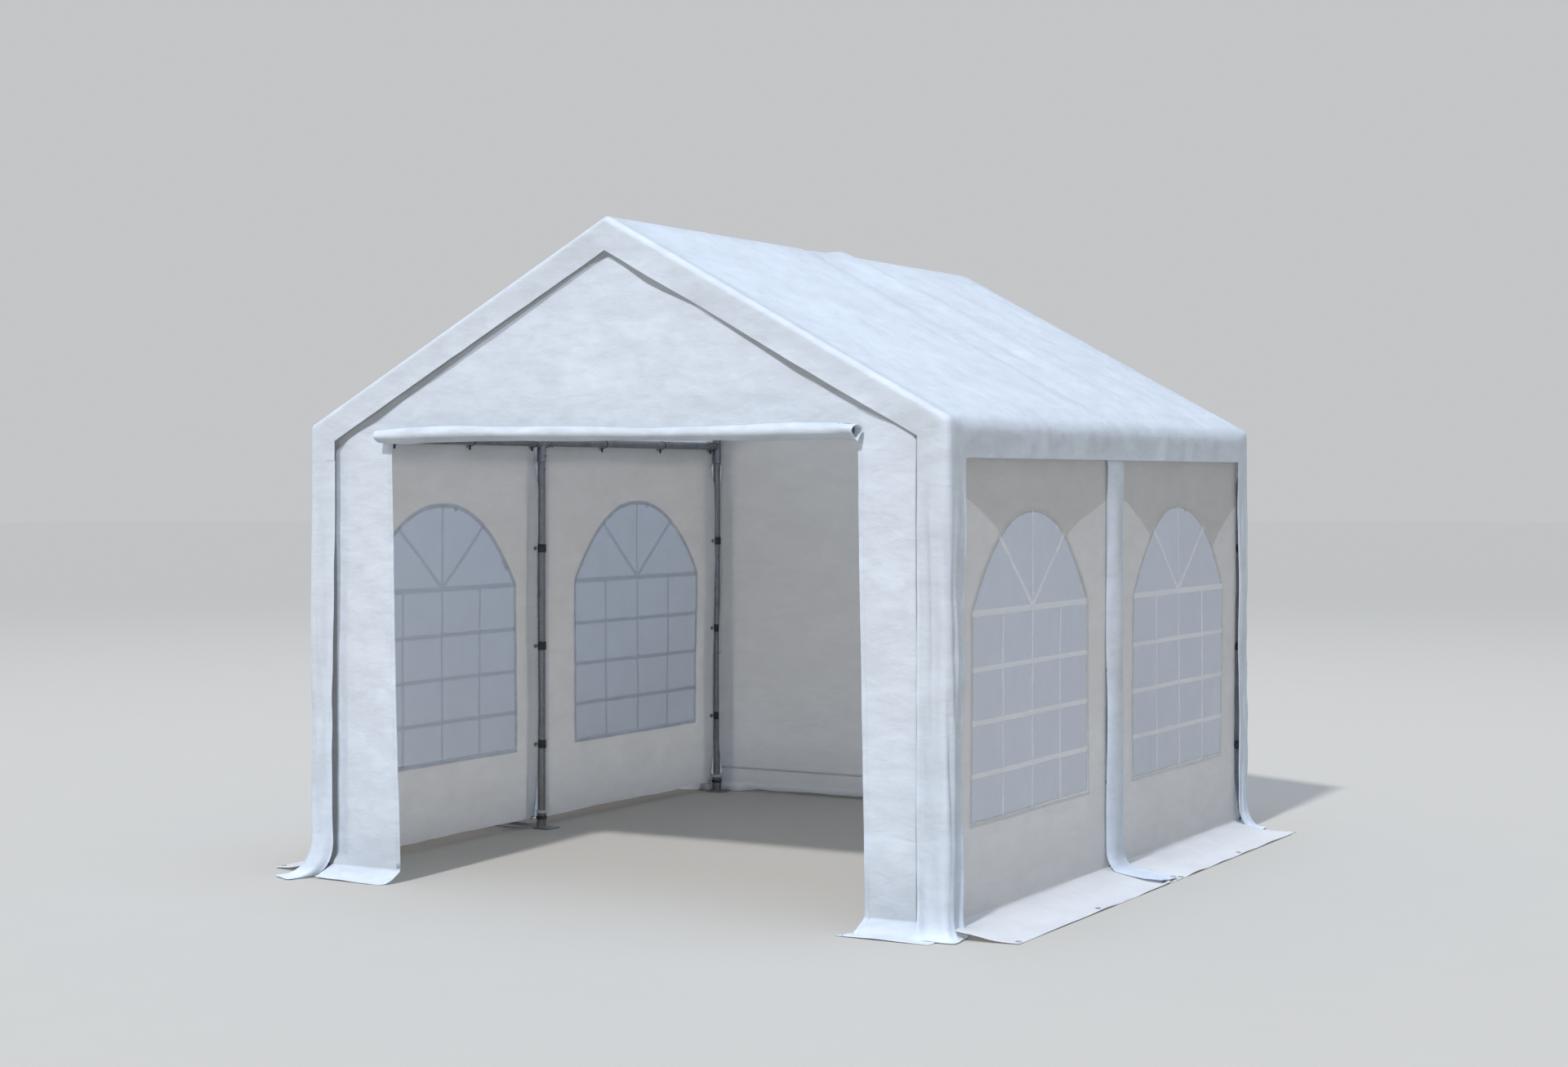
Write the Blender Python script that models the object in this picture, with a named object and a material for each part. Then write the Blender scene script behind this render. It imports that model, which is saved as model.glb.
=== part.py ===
"""Marquee tent: cloth cover and windowed walls hung on a frame of steel tubes.

Metres, +Z up. X runs across the gables, Y along the ridge, and the doorway looks along -Y.
The origin is on the ground in the middle of the tent. Cloth is drawn thicker than it is.
"""

import math

import bmesh
import bpy
from mathutils import Vector

# Cover, measured over its outer faces
COVER_WIDTH = 3.060
COVER_LENGTH = 3.354
EAVE_HEIGHT = 1.937
RIDGE_HEIGHT = 2.766
EAVE_ROUND = 0.030
ROOF_ROUND_STEPS = 4
VALANCE_DEPTH = 0.148
GABLE_BAND = 0.140
CLOTH = 0.004
GAP = 0.0003

# Walls hang a little inside the cover and turn outwards on the ground
WALL_INSET = 0.022
WALL_PAST_TUBE = 0.017
FOLD_ROUND = 0.050
SIDE_FLAP = 0.279
END_FLAP = 0.130
FOLD_STEPS = 4

# Doorway in the front wall, where its edges meet the ground and its head
DOOR_LEFT_FOOT = -1.060
DOOR_RIGHT_FOOT = 1.168
DOOR_LEFT_HEAD = -1.098
DOOR_RIGHT_HEAD = 1.138
DOOR_HEAD = 1.860
ROLL_PAST_LEFT = 0.049
ROLL_PAST_RIGHT = 0.016
ROLL_RADIUS = 0.034
ROLL_OVER_HEAD = 0.026
ROLL_SIDES = 16

# Arched windows, one in each side wall panel
WINDOW_WIDTH = 1.135
WINDOW_SILL = 0.400
WINDOW_SIDE = 0.797
ARCH_RISE = 0.385
ARCH_POWER = 2.3
ARCH_STEPS = 20
FILM = 0.003
LEFT_WINDOW_SHIFT = 0.060
RIGHT_WINDOW_SHIFT = -0.030

# Covers that hang from the roof cover in front of the corner posts
LEG_FRONT_WIDTH = 0.137
LEG_SIDE_WIDTH = 0.145
LEG_ROUND = 0.030
LEG_ROUND_STEPS = 3
LEG_FLARE_HEIGHT = 0.120
LEG_FLARE_END = 0.150
LEG_FLARE_SIDE = 0.050
LEG_FLARE_STEPS = 5

# Flap that hangs in front of each middle post, and its tongue on the ground
POLE_FLAP_WIDTH = 0.178
POLE_FLAP_TUCK = 0.041
POLE_FLAP_ROUND = 0.080
POLE_FLAP_REACH = 0.245

# Steel frame
TUBE_RADIUS = 0.019
FITTING_RADIUS = 0.0225
TUBE_SIDES = 12
BALL_RINGS = 8
MID_POST_Y = -0.025
EAVE_TUBE_DROP = 0.045
FITTING_DOWN = 0.140
FITTING_SLOPE = 0.100
FITTING_ALONG = 0.090
FOOT_PLATE = 0.100
FOOT_THICK = 0.005
FOOT_SOCKET = 0.075

# Colour, roughness and metallic value of each finish
FINISHES = {
    "cover_cloth": ((0.86, 0.89, 0.93), 0.45, 0.0),
    "wall_cloth": ((0.80, 0.82, 0.85), 0.50, 0.0),
    "window_film": ((0.72, 0.80, 0.84), 0.12, 0.0),
    "tube_steel": ((0.42, 0.43, 0.44), 0.38, 0.9),
}

# Places that follow from the sizes above
HALF_WIDTH = COVER_WIDTH / 2
HALF_LENGTH = COVER_LENGTH / 2
VALANCE_FOOT = EAVE_HEIGHT - VALANCE_DEPTH
SLOPE = (RIDGE_HEIGHT - EAVE_HEIGHT) / HALF_WIDTH
PITCH = math.atan(SLOPE)
RIDGE_ROUND = FITTING_RADIUS + GAP + CLOTH
SIDE_WALL_FACE = HALF_WIDTH - WALL_INSET
END_WALL_FACE = HALF_LENGTH - WALL_INSET
POST_X = SIDE_WALL_FACE - CLOTH - GAP - FITTING_RADIUS
POST_Y = END_WALL_FACE - CLOTH - GAP - FITTING_RADIUS
AXIS_DROP = (CLOTH + GAP + FITTING_RADIUS) / math.cos(PITCH)
JOINT_Z = RIDGE_HEIGHT - SLOPE * POST_X - AXIS_DROP
RIDGE_Z = RIDGE_HEIGHT - AXIS_DROP
EAVE_TUBE_Z = JOINT_Z - EAVE_TUBE_DROP
WALL_TOP = EAVE_TUBE_Z + WALL_PAST_TUBE
SIDES = {"left": -1, "right": 1}
ROWS = {"front": -POST_Y, "mid": MID_POST_Y, "rear": POST_Y}
CUT_PAST = 0.050
SMOOTH_ANGLE = math.radians(40)


def clear_scene():
    for thing in list(bpy.data.objects):
        bpy.data.objects.remove(thing, do_unlink=True)


def make_finish(name, finish):
    colour, roughness, metallic = FINISHES[finish]
    material = bpy.data.materials.new(f"{name}_{finish}")
    material.use_nodes = True
    shader = material.node_tree.nodes["Principled BSDF"]
    shader.inputs["Base Color"].default_value = (*colour, 1.0)
    shader.inputs["Roughness"].default_value = roughness
    shader.inputs["Metallic"].default_value = metallic
    return material


def add_object(name, mesh_data, finish=None, location=(0, 0, 0), turn=None):
    """Puts a bmesh in the scene, with its faces pointing outwards."""
    bmesh.ops.recalc_face_normals(mesh_data, faces=mesh_data.faces)
    mesh = bpy.data.meshes.new(name)
    mesh_data.to_mesh(mesh)
    mesh_data.free()
    thing = bpy.data.objects.new(name, mesh)
    thing.location = location
    if turn is not None:
        thing.rotation_mode = "QUATERNION"
        thing.rotation_quaternion = turn
    bpy.context.scene.collection.objects.link(thing)
    if finish is None:
        thing.hide_render = True
        thing.display_type = "WIRE"
    else:
        mesh.materials.append(make_finish(name, finish))
    return thing


def shade_round(thing):
    thing.data.shade_smooth()
    thing.data.set_sharp_from_angle(angle=SMOOTH_ANGLE)


def combine(thing, other, operation):
    change = thing.modifiers.new(f"{operation.lower()}_{other.name}", "BOOLEAN")
    change.operation = operation
    change.object = other
    change.solver = "EXACT"


def prism(outline, place, start, end):
    """Extrudes an outline of (u, v) points from start to end; place maps (u, v, w) to the world."""
    body = bmesh.new()
    near = [body.verts.new(place(u, v, start)) for u, v in outline]
    far = [body.verts.new(place(u, v, end)) for u, v in outline]
    body.faces.new(near)
    body.faces.new(far)
    for i in range(len(outline)):
        j = (i + 1) % len(outline)
        body.faces.new((near[i], near[j], far[j], far[i]))
    return body


def across(u, v, w):
    """An outline seen from the gable end, extruded along the ridge."""
    return Vector((u, w, v))


def outwards(side):
    """An outline whose u is the distance out to one long side, extruded along the ridge."""
    return lambda u, v, w: Vector((side * u, w, v))


def endwards(end):
    """An outline whose u is the distance out to one gable end, extruded across the tent."""
    return lambda u, v, w: Vector((w, end * u, v))


def arc(centre, radius, first, last, steps):
    """Points on an arc, with its angles in radians."""
    turns = [first + (last - first) * i / steps for i in range(steps + 1)]
    return [(centre[0] + radius * math.cos(a), centre[1] + radius * math.sin(a)) for a in turns]


def tube_mesh(radius, length):
    """A round bar that stands on its own origin."""
    body = bmesh.new()
    bmesh.ops.create_cone(
        body, cap_ends=True, segments=TUBE_SIDES, radius1=radius, radius2=radius, depth=length
    )
    bmesh.ops.translate(body, verts=body.verts, vec=(0, 0, length / 2))
    return body


def add_tube(name, start, end, radius, finish=None):
    """A round bar from start to end."""
    run = Vector(end) - Vector(start)
    turn = run.to_track_quat("Z", "Y")
    thing = add_object(name, tube_mesh(radius, run.length), finish, start, turn)
    shade_round(thing)
    return thing


def roof_outline(depth, foot):
    """The cover's section, offset inwards by depth, with its sides cut off at the height foot."""
    lean = math.pi / 2 - PITCH
    reach = HALF_WIDTH - EAVE_ROUND
    eave = (reach, RIDGE_HEIGHT - SLOPE * reach - EAVE_ROUND / math.cos(PITCH))
    ridge = (0, RIDGE_HEIGHT - RIDGE_ROUND / math.cos(PITCH))
    right = [(HALF_WIDTH - depth, foot)]
    right += arc(eave, EAVE_ROUND - depth, 0, lean, ROOF_ROUND_STEPS)
    crown = arc(ridge, RIDGE_ROUND - depth, lean, math.pi - lean, ROOF_ROUND_STEPS)
    left = [(-x, z) for x, z in reversed(right)]
    return right + crown + left


def gable_opening():
    """The outline inside the cover's gable bands."""
    edge = HALF_WIDTH - LEG_FRONT_WIDTH
    head = RIDGE_HEIGHT - GABLE_BAND
    low = VALANCE_FOOT - CUT_PAST
    shoulder = head - SLOPE * edge
    return [(edge, low), (edge, shoulder), (0, head), (-edge, shoulder), (-edge, low)]


def add_roof_cover():
    outer = prism(roof_outline(0, VALANCE_FOOT), across, -HALF_LENGTH, HALF_LENGTH)
    cover = add_object("roof_cover", outer, "cover_cloth")
    room = HALF_LENGTH - CLOTH
    inner = prism(roof_outline(CLOTH, VALANCE_FOOT - CUT_PAST), across, -room, room)
    combine(cover, add_object("cut_roof_inside", inner), "DIFFERENCE")
    past = HALF_LENGTH + CUT_PAST
    ends = prism(gable_opening(), across, -past, past)
    combine(cover, add_object("cut_gable_ends", ends), "DIFFERENCE")


def hung_outline(face, top, fold, reach, lift):
    """A hanging sheet that turns outwards on the ground: u is outwards and v is up."""
    centre = (face + fold, lift + CLOTH + fold)
    upper = arc(centre, fold, math.pi, 1.5 * math.pi, FOLD_STEPS)
    lower = arc(centre, fold + CLOTH, 1.5 * math.pi, math.pi, FOLD_STEPS)
    tongue = [(reach, lift + CLOTH), (reach, lift)]
    return [(face, top)] + upper + tongue + lower + [(face - CLOTH, top)]


def gable_limit(name, end):
    """A block with the shape of the space under the cover, for one gable wall."""
    outline = roof_outline(CLOTH + GAP, -CUT_PAST)
    inside = POST_Y
    outside = HALF_LENGTH + END_FLAP + CUT_PAST
    return add_object(name, prism(outline, across, end * inside, end * outside))


def end_wall(name, end):
    """A gable wall with its ground flap."""
    reach = HALF_LENGTH + END_FLAP
    outline = hung_outline(END_WALL_FACE, RIDGE_HEIGHT, FOLD_ROUND, reach, 0)
    half = SIDE_WALL_FACE - CLOTH - GAP
    wall = add_object(name, prism(outline, endwards(end), -half, half), "wall_cloth")
    combine(wall, gable_limit(f"limit_{name}", end), "INTERSECT")
    return wall


def door_edge(foot, head, height):
    """Where a straight edge of the doorway is at a height."""
    return foot + (head - foot) * height / DOOR_HEAD


def add_front_wall():
    wall = end_wall("front_wall", -1)
    doorway = [
        (door_edge(DOOR_LEFT_FOOT, DOOR_LEFT_HEAD, -CUT_PAST), -CUT_PAST),
        (door_edge(DOOR_RIGHT_FOOT, DOOR_RIGHT_HEAD, -CUT_PAST), -CUT_PAST),
        (DOOR_RIGHT_HEAD, DOOR_HEAD),
        (DOOR_LEFT_HEAD, DOOR_HEAD),
    ]
    past = HALF_LENGTH + END_FLAP + CUT_PAST
    cutter = prism(doorway, across, -past, -POST_Y)
    combine(wall, add_object("cut_doorway", cutter), "DIFFERENCE")


def add_door_roll():
    """The door leaf, rolled up and tied against the wall above the doorway."""
    centre = (END_WALL_FACE + GAP + ROLL_RADIUS, DOOR_HEAD + ROLL_OVER_HEAD)
    outline = arc(centre, ROLL_RADIUS, 0, math.tau, ROLL_SIDES)[:-1]
    left = DOOR_LEFT_HEAD - ROLL_PAST_LEFT
    right = DOOR_RIGHT_HEAD + ROLL_PAST_RIGHT
    shade_round(add_object("door_roll", prism(outline, endwards(-1), left, right), "wall_cloth"))


def window_outline(middle, inset):
    """An arched window as (place along the wall, height) points, drawn in by inset."""
    half = WINDOW_WIDTH / 2 - inset
    sill = WINDOW_SILL + inset
    spring = WINDOW_SILL + WINDOW_SIDE - inset
    points = [(middle - half, sill), (middle + half, sill)]
    for i in range(ARCH_STEPS + 1):
        along = math.cos(math.pi * i / ARCH_STEPS)
        points.append((middle + half * along, spring + ARCH_RISE * (1 - abs(along) ** ARCH_POWER)))
    return points


def through_wall(side):
    """An outline drawn on a side wall, extruded outwards."""
    return lambda u, v, w: Vector((side * w, u, v))


def add_side_wall(side_name, panel, start, end):
    """One windowed panel of a long side, and the clear film in its window."""
    side = SIDES[side_name]
    name = f"{side_name}_wall_{panel}"
    reach = SIDE_WALL_FACE + SIDE_FLAP
    outline = hung_outline(SIDE_WALL_FACE, WALL_TOP, FOLD_ROUND, reach, 0)
    wall = add_object(name, prism(outline, outwards(side), start, end), "wall_cloth")
    shift = LEFT_WINDOW_SHIFT if side < 0 else RIGHT_WINDOW_SHIFT
    middle = (start + end) / 2 + shift
    inner = SIDE_WALL_FACE - CLOTH
    hole = window_outline(middle, 0)
    cutter = prism(hole, through_wall(side), inner - CLOTH, SIDE_WALL_FACE + CLOTH)
    combine(wall, add_object(f"cut_{name}", cutter), "DIFFERENCE")
    near = inner + (CLOTH - FILM) / 2
    film = prism(window_outline(middle, GAP), through_wall(side), near, near + FILM)
    add_object(f"{side_name}_window_{panel}", film, "window_film")


def leg_path():
    """Plan of a leg cover's outer face at one corner, as (across, along, normal turn) points."""
    inner_across = HALF_WIDTH - LEG_FRONT_WIDTH
    inner_along = HALF_LENGTH - LEG_SIDE_WIDTH
    centre = (HALF_WIDTH - LEG_ROUND, HALF_LENGTH - LEG_ROUND)
    points = [(inner_across, HALF_LENGTH, math.pi / 2)]
    for i in range(LEG_ROUND_STEPS + 1):
        turn = math.pi / 2 * (1 - i / LEG_ROUND_STEPS)
        across_place = centre[0] + LEG_ROUND * math.cos(turn)
        along_place = centre[1] + LEG_ROUND * math.sin(turn)
        points.append((across_place, along_place, turn))
    points.append((HALF_WIDTH, inner_along, 0.0))
    return points


def flare_profile(flare):
    """A leg cover's fall as (out, height, normal out, normal up), from its top to the ground."""
    foot = CLOTH + GAP + CLOTH
    drop = LEG_FLARE_HEIGHT - foot
    profile = [(0.0, VALANCE_FOOT - GAP, 1.0, 0.0)]
    for i in range(LEG_FLARE_STEPS + 1):
        turn = math.pi / 2 * i / LEG_FLARE_STEPS
        out = flare * (1 - math.cos(turn))
        height = foot + drop * (1 - math.sin(turn))
        run_out = flare * math.sin(turn)
        run_down = drop * math.cos(turn)
        size = math.hypot(run_out, run_down)
        profile.append((out, height, run_down / size, run_out / size))
    return profile


def add_leg_cover(name, side, end):
    """The cloth in front of a corner post, with its foot turned out on the ground."""
    body = bmesh.new()
    outer, inner = [], []
    for place_x, place_y, turn in leg_path():
        flare = LEG_FLARE_END * math.sin(turn) ** 2 + LEG_FLARE_SIDE * math.cos(turn) ** 2
        outer_run, inner_run = [], []
        for out, height, normal_out, normal_up in flare_profile(flare):
            for run, depth in ((outer_run, 0.0), (inner_run, CLOTH)):
                shift = out - depth * normal_out
                x = place_x + shift * math.cos(turn)
                y = place_y + shift * math.sin(turn)
                z = height - depth * normal_up
                run.append(body.verts.new((side * x, end * y, z)))
        outer.append(outer_run)
        inner.append(inner_run)
    columns, rows = len(outer), len(outer[0])
    for i in range(columns - 1):
        for j in range(rows - 1):
            body.faces.new((outer[i][j], outer[i + 1][j], outer[i + 1][j + 1], outer[i][j + 1]))
            body.faces.new((inner[i][j], inner[i][j + 1], inner[i + 1][j + 1], inner[i + 1][j]))
        for j in (0, rows - 1):
            body.faces.new((outer[i][j], inner[i][j], inner[i + 1][j], outer[i + 1][j]))
    for j in range(rows - 1):
        for i in (0, columns - 1):
            body.faces.new((outer[i][j], outer[i][j + 1], inner[i][j + 1], inner[i][j]))
    shade_round(add_object(name, body, "cover_cloth"))


def add_pole_flap(side_name):
    """The flap over the wall joint at a middle post; it hangs from inside the valance."""
    side = SIDES[side_name]
    face = HALF_WIDTH - CLOTH - GAP
    top = VALANCE_FOOT + POLE_FLAP_TUCK
    reach = HALF_WIDTH + POLE_FLAP_REACH
    outline = hung_outline(face, top, POLE_FLAP_ROUND, reach, CLOTH + GAP)
    start = MID_POST_Y - POLE_FLAP_WIDTH / 2
    flap = prism(outline, outwards(side), start, start + POLE_FLAP_WIDTH)
    add_object(f"{side_name}_pole_flap", flap, "cover_cloth")


def add_post(side_name, row):
    """A post in the socket of its foot plate, which lies towards the inside of the tent."""
    side = SIDES[side_name]
    y = ROWS[row]
    name = f"post_{row}_{side_name}"
    inward_y = 0.0 if row == "mid" else -math.copysign(1, y)
    shift_limit = FOOT_PLATE / 2 - FITTING_RADIUS
    plate = bmesh.new()
    bmesh.ops.create_cube(plate, size=1.0)
    bmesh.ops.scale(plate, vec=(FOOT_PLATE, FOOT_PLATE, FOOT_THICK), verts=plate.verts)
    shift = (-side * shift_limit, inward_y * shift_limit, FOOT_THICK / 2)
    bmesh.ops.translate(plate, verts=plate.verts, vec=shift)
    place = Vector((side * POST_X, y, 0))
    post = add_object(name, plate, "tube_steel", place)
    top = JOINT_Z - FITTING_DOWN - GAP
    foot = place + Vector((0, 0, FOOT_THICK / 2))
    socket_top = place + Vector((0, 0, FOOT_SOCKET))
    combine(post, add_tube(f"socket_{name}", foot, socket_top, FITTING_RADIUS), "UNION")
    shaft = add_tube(f"shaft_{name}", foot, place + Vector((0, 0, top)), TUBE_RADIUS)
    combine(post, shaft, "UNION")


def slope_direction(side):
    """The way up a rafter from the eave on one side."""
    return Vector((-side * math.cos(PITCH), 0, math.sin(PITCH)))


def add_ball(name, place):
    ball = bmesh.new()
    bmesh.ops.create_uvsphere(
        ball, u_segments=TUBE_SIDES, v_segments=BALL_RINGS, radius=FITTING_RADIUS
    )
    return add_object(name, ball, None, place)


def add_eave_fitting(side_name, row):
    """The joint piece on a post: sockets for the post, the rafter and the eave tubes."""
    side = SIDES[side_name]
    name = f"eave_fitting_{row}_{side_name}"
    joint = Vector((side * POST_X, ROWS[row], JOINT_Z))
    bottom = joint - Vector((0, 0, FITTING_DOWN))
    fitting = add_tube(name, bottom, joint, FITTING_RADIUS, "tube_steel")
    slope_end = joint + slope_direction(side) * FITTING_SLOPE
    combine(fitting, add_ball(f"ball_{name}", joint), "UNION")
    combine(fitting, add_tube(f"slope_{name}", joint, slope_end, FITTING_RADIUS), "UNION")
    level = joint - Vector((0, 0, EAVE_TUBE_DROP))
    back = 0.0 if row == "front" else FITTING_ALONG
    ahead = 0.0 if row == "rear" else FITTING_ALONG
    start = level - Vector((0, back, 0))
    end = level + Vector((0, ahead, 0))
    combine(fitting, add_tube(f"along_{name}", start, end, FITTING_RADIUS), "UNION")


def add_ridge_fitting(row):
    """The joint piece at the ridge: sockets for two rafters and the ridge tubes."""
    name = f"ridge_fitting_{row}"
    joint = Vector((0, ROWS[row], RIDGE_Z))
    back = FITTING_RADIUS if row == "front" else FITTING_ALONG
    ahead = FITTING_RADIUS if row == "rear" else FITTING_ALONG
    start = joint - Vector((0, back, 0))
    end = joint + Vector((0, ahead, 0))
    fitting = add_tube(name, start, end, FITTING_RADIUS, "tube_steel")
    for side_name, side in SIDES.items():
        arm_end = joint - slope_direction(side) * FITTING_SLOPE
        arm = add_tube(f"arm_{side_name}_{name}", joint, arm_end, FITTING_RADIUS)
        combine(fitting, arm, "UNION")


def add_rafter(side_name, row):
    side = SIDES[side_name]
    up = slope_direction(side)
    eave = Vector((side * POST_X, ROWS[row], JOINT_Z)) + up * (FITTING_SLOPE + GAP)
    ridge = Vector((0, ROWS[row], RIDGE_Z)) - up * (FITTING_SLOPE + GAP)
    add_tube(f"rafter_{row}_{side_name}", eave, ridge, TUBE_RADIUS, "tube_steel")


def add_long_tube(name, x, z, first, last):
    """A tube along the ridge direction between the fittings of two rows."""
    start = Vector((x, ROWS[first] + FITTING_ALONG + GAP, z))
    end = Vector((x, ROWS[last] - FITTING_ALONG - GAP, z))
    add_tube(name, start, end, TUBE_RADIUS, "tube_steel")


def add_frame():
    for row in ROWS:
        add_ridge_fitting(row)
        for side_name in SIDES:
            add_post(side_name, row)
            add_eave_fitting(side_name, row)
            add_rafter(side_name, row)
    for bay, (first, last) in {"front": ("front", "mid"), "rear": ("mid", "rear")}.items():
        add_long_tube(f"ridge_tube_{bay}", 0, RIDGE_Z, first, last)
        for side_name, side in SIDES.items():
            add_long_tube(f"eave_tube_{bay}_{side_name}", side * POST_X, EAVE_TUBE_Z, first, last)


def add_walls():
    add_front_wall()
    add_door_roll()
    end_wall("rear_wall", 1)
    for side_name in SIDES:
        add_side_wall(side_name, "front", -END_WALL_FACE, MID_POST_Y - GAP / 2)
        add_side_wall(side_name, "rear", MID_POST_Y + GAP / 2, END_WALL_FACE)


def add_cover():
    add_roof_cover()
    for side_name, side in SIDES.items():
        add_pole_flap(side_name)
        for end_name, end in {"front": -1, "rear": 1}.items():
            add_leg_cover(f"leg_cover_{end_name}_{side_name}", side, end)


clear_scene()
add_frame()
add_walls()
add_cover()
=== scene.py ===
"""Marquee tent: the looks of its cloth, film and steel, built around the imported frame.

Laid out as a Blender add-on and run as a script. Metres, +Z up, in the frame of the CAD model:
X runs across the gables, Y along the ridge, and the doorway looks along -Y.
"""

import math

import bpy
import numpy as np
from bpy.props import FloatProperty, FloatVectorProperty, PointerProperty
from mathutils.geometry import delaunay_2d_cdt
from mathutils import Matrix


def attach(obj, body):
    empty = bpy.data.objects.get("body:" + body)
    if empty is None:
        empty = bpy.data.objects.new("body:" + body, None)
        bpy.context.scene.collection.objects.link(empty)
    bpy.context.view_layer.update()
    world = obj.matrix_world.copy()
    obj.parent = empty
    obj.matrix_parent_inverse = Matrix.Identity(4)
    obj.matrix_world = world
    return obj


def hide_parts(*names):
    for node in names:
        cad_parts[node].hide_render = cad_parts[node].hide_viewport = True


bl_info = {
    "name": "Marquee Tent",
    "version": (1, 0, 0),
    "blender": (4, 5, 0),
    "location": "View3D > Sidebar > Tent",
    "description": "Dresses the packed frame of a marquee tent in cloth, clear film and steel",
    "category": "Add Mesh",
}

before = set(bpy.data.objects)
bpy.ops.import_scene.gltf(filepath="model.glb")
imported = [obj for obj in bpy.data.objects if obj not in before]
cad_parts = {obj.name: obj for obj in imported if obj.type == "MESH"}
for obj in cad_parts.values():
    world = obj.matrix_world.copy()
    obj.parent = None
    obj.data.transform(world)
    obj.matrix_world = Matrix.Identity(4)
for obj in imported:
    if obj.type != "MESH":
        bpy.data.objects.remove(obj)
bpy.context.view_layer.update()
BODY = "root"

# The cover's outer faces, as in the CAD model
HALF_WIDTH = 1.530
HALF_LENGTH = 1.677
EAVE_HEIGHT = 1.937
RIDGE_HEIGHT = 2.766
SLOPE = (RIDGE_HEIGHT - EAVE_HEIGHT) / HALF_WIDTH
PITCH = math.atan(SLOPE)
EAVE_ROUND = 0.030
SOFT_EAVE_ROUND = 0.085
RIDGE_ROUND = 0.027
VALANCE_FOOT = 1.789
GABLE_BAND = 0.140
LEG_FRONT_WIDTH = 0.137

# The walls' outer faces, and the frame's tubes
SIDE_FACE = 1.508
END_FACE = 1.655
CAD_CLOTH = 0.004
WALL_TOP = 1.9045
POST_X = 1.4812
POST_Y = 1.6282
MID_POST_Y = -0.025
JOINT_Z = 1.9325
RIDGE_Z = 2.7355
EAVE_TUBE_Z = 1.8875
TUBE_RADIUS = 0.019
SLEEVE_RADIUS = 0.0225
SLEEVE_DOWN = 0.140
SLEEVE_SLOPE = 0.100
SLEEVE_ALONG = 0.090
ROWS = {"front": -POST_Y, "mid": MID_POST_Y, "rear": POST_Y}
SIDES = {"left": -1, "right": 1}
ENDS = {"front": -1, "rear": 1}
# The ways along the tent in which each row has tubes and walls
INNER_WAYS = {"front": (1,), "mid": (-1, 1), "rear": (-1,)}

# Doorway and windows; an edge of the doorway is (place at the foot, place at the head)
DOOR_HEAD = 1.860
DOOR_LEFT = (-1.060, -1.098)
DOOR_RIGHT = (1.168, 1.138)
WINDOW_WIDTH = 1.135
WINDOW_SILL = 0.400
WINDOW_SIDE = 0.797
ARCH_RISE = 0.385
ARCH_POWER = 2.3
WINDOW_SHIFT = {"left": 0.060, "right": -0.030}

# How finely the cloth is cut
SLOPE_STEPS = 75
ROOF_ROW_SPACING = 0.026
WALL_SPACING = 0.019
HEM_SPACING = 0.03
FILM_SPACING = 0.03
EYELET_SIDES = 12

# Hems of the cover and its legs, and of the pole flaps
HEM_THICKNESS = 0.0024
FLAP_HEM_THICKNESS = 0.0030

# The lowest a sheet may lie above the ground
LOW_LIFT = 0.0012


def length_property(name, description, default, low, high):
    return FloatProperty(
        name=name, description=description, default=default, min=low, max=high, unit="LENGTH"
    )


def strength_property(name, description, default):
    return FloatProperty(name=name, description=description, default=default, min=0.0)


def colour_property(name, description, default):
    return FloatVectorProperty(
        name=name,
        description=description,
        default=default,
        subtype="COLOR",
        size=3,
        min=0.0,
        max=1.0,
    )


class TentSizes(bpy.types.PropertyGroup):
    cloth: length_property(
        "Cloth Thickness", "Thickness of the coated cloth", 0.0012, 0.0003, 0.004
    )
    film: length_property(
        "Film Thickness", "Thickness of the clear window film", 0.0008, 0.0002, 0.003
    )
    weld: length_property(
        "Weld Width", "Width of the weld round each window", 0.0156, 0.005, 0.04
    )
    sag: length_property(
        "Roof Sag", "How far the roof cloth sags between two rafters", 0.012, 0.0, 0.05
    )
    crease: length_property(
        "Eave Crease", "Depth of the crease beside each eave tube", 0.007, 0.0, 0.02
    )
    wave: length_property(
        "Wall Waves", "Height of the slow waves in the hanging walls", 0.0028, 0.0, 0.02
    )
    bar: length_property(
        "Window Bar", "Width of the bars across each window", 0.020, 0.005, 0.06
    )
    eyelet: length_property(
        "Eyelet Radius", "Radius of the eyelets, to the middle of the ring", 0.0085, 0.004, 0.02
    )


class TentColours(bpy.types.PropertyGroup):
    cover: colour_property("Cover", "Colour of the roof cover's cloth", (0.892, 0.923, 0.958))
    wall: colour_property(
        "Front Wall", "Colour of the front wall and the rolled-up door", (0.885, 0.913, 0.945)
    )
    panel: colour_property(
        "Panels", "Colour of the side and rear walls' cloth", (0.900, 0.885, 0.868)
    )
    film: colour_property("Film", "Tint of the clear window film", (0.965, 0.975, 0.985))
    bar: colour_property("Window Bars", "Colour of the bars on the windows", (0.93, 0.93, 0.94))
    steel: colour_property("Steel", "Colour of the galvanised tubes", (0.225, 0.23, 0.24))
    black: colour_property("Clips", "Colour of the clips and hooks", (0.015, 0.016, 0.020))


class TentStudio(bpy.types.PropertyGroup):
    camera: FloatVectorProperty(
        name="Camera",
        description="Where the camera stands",
        default=(5.4545, -9.7957, 1.7071),
        subtype="TRANSLATION",
        unit="LENGTH",
        size=3,
    )
    turn: FloatProperty(
        name="Camera Turn",
        description="The level camera's turn about the vertical",
        default=0.518,
        unit="ROTATION",
    )
    key: strength_property("Key Light", "Strength of the light from the front", 2.74)
    top: strength_property("Top Light", "Strength of the soft light from above", 1.60)
    world: strength_property("Room Light", "Brightness of the plain surroundings", 0.57)
    floor: colour_property("Floor", "Colour of the studio floor", (0.455, 0.423, 0.375))


# Numbers


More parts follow.
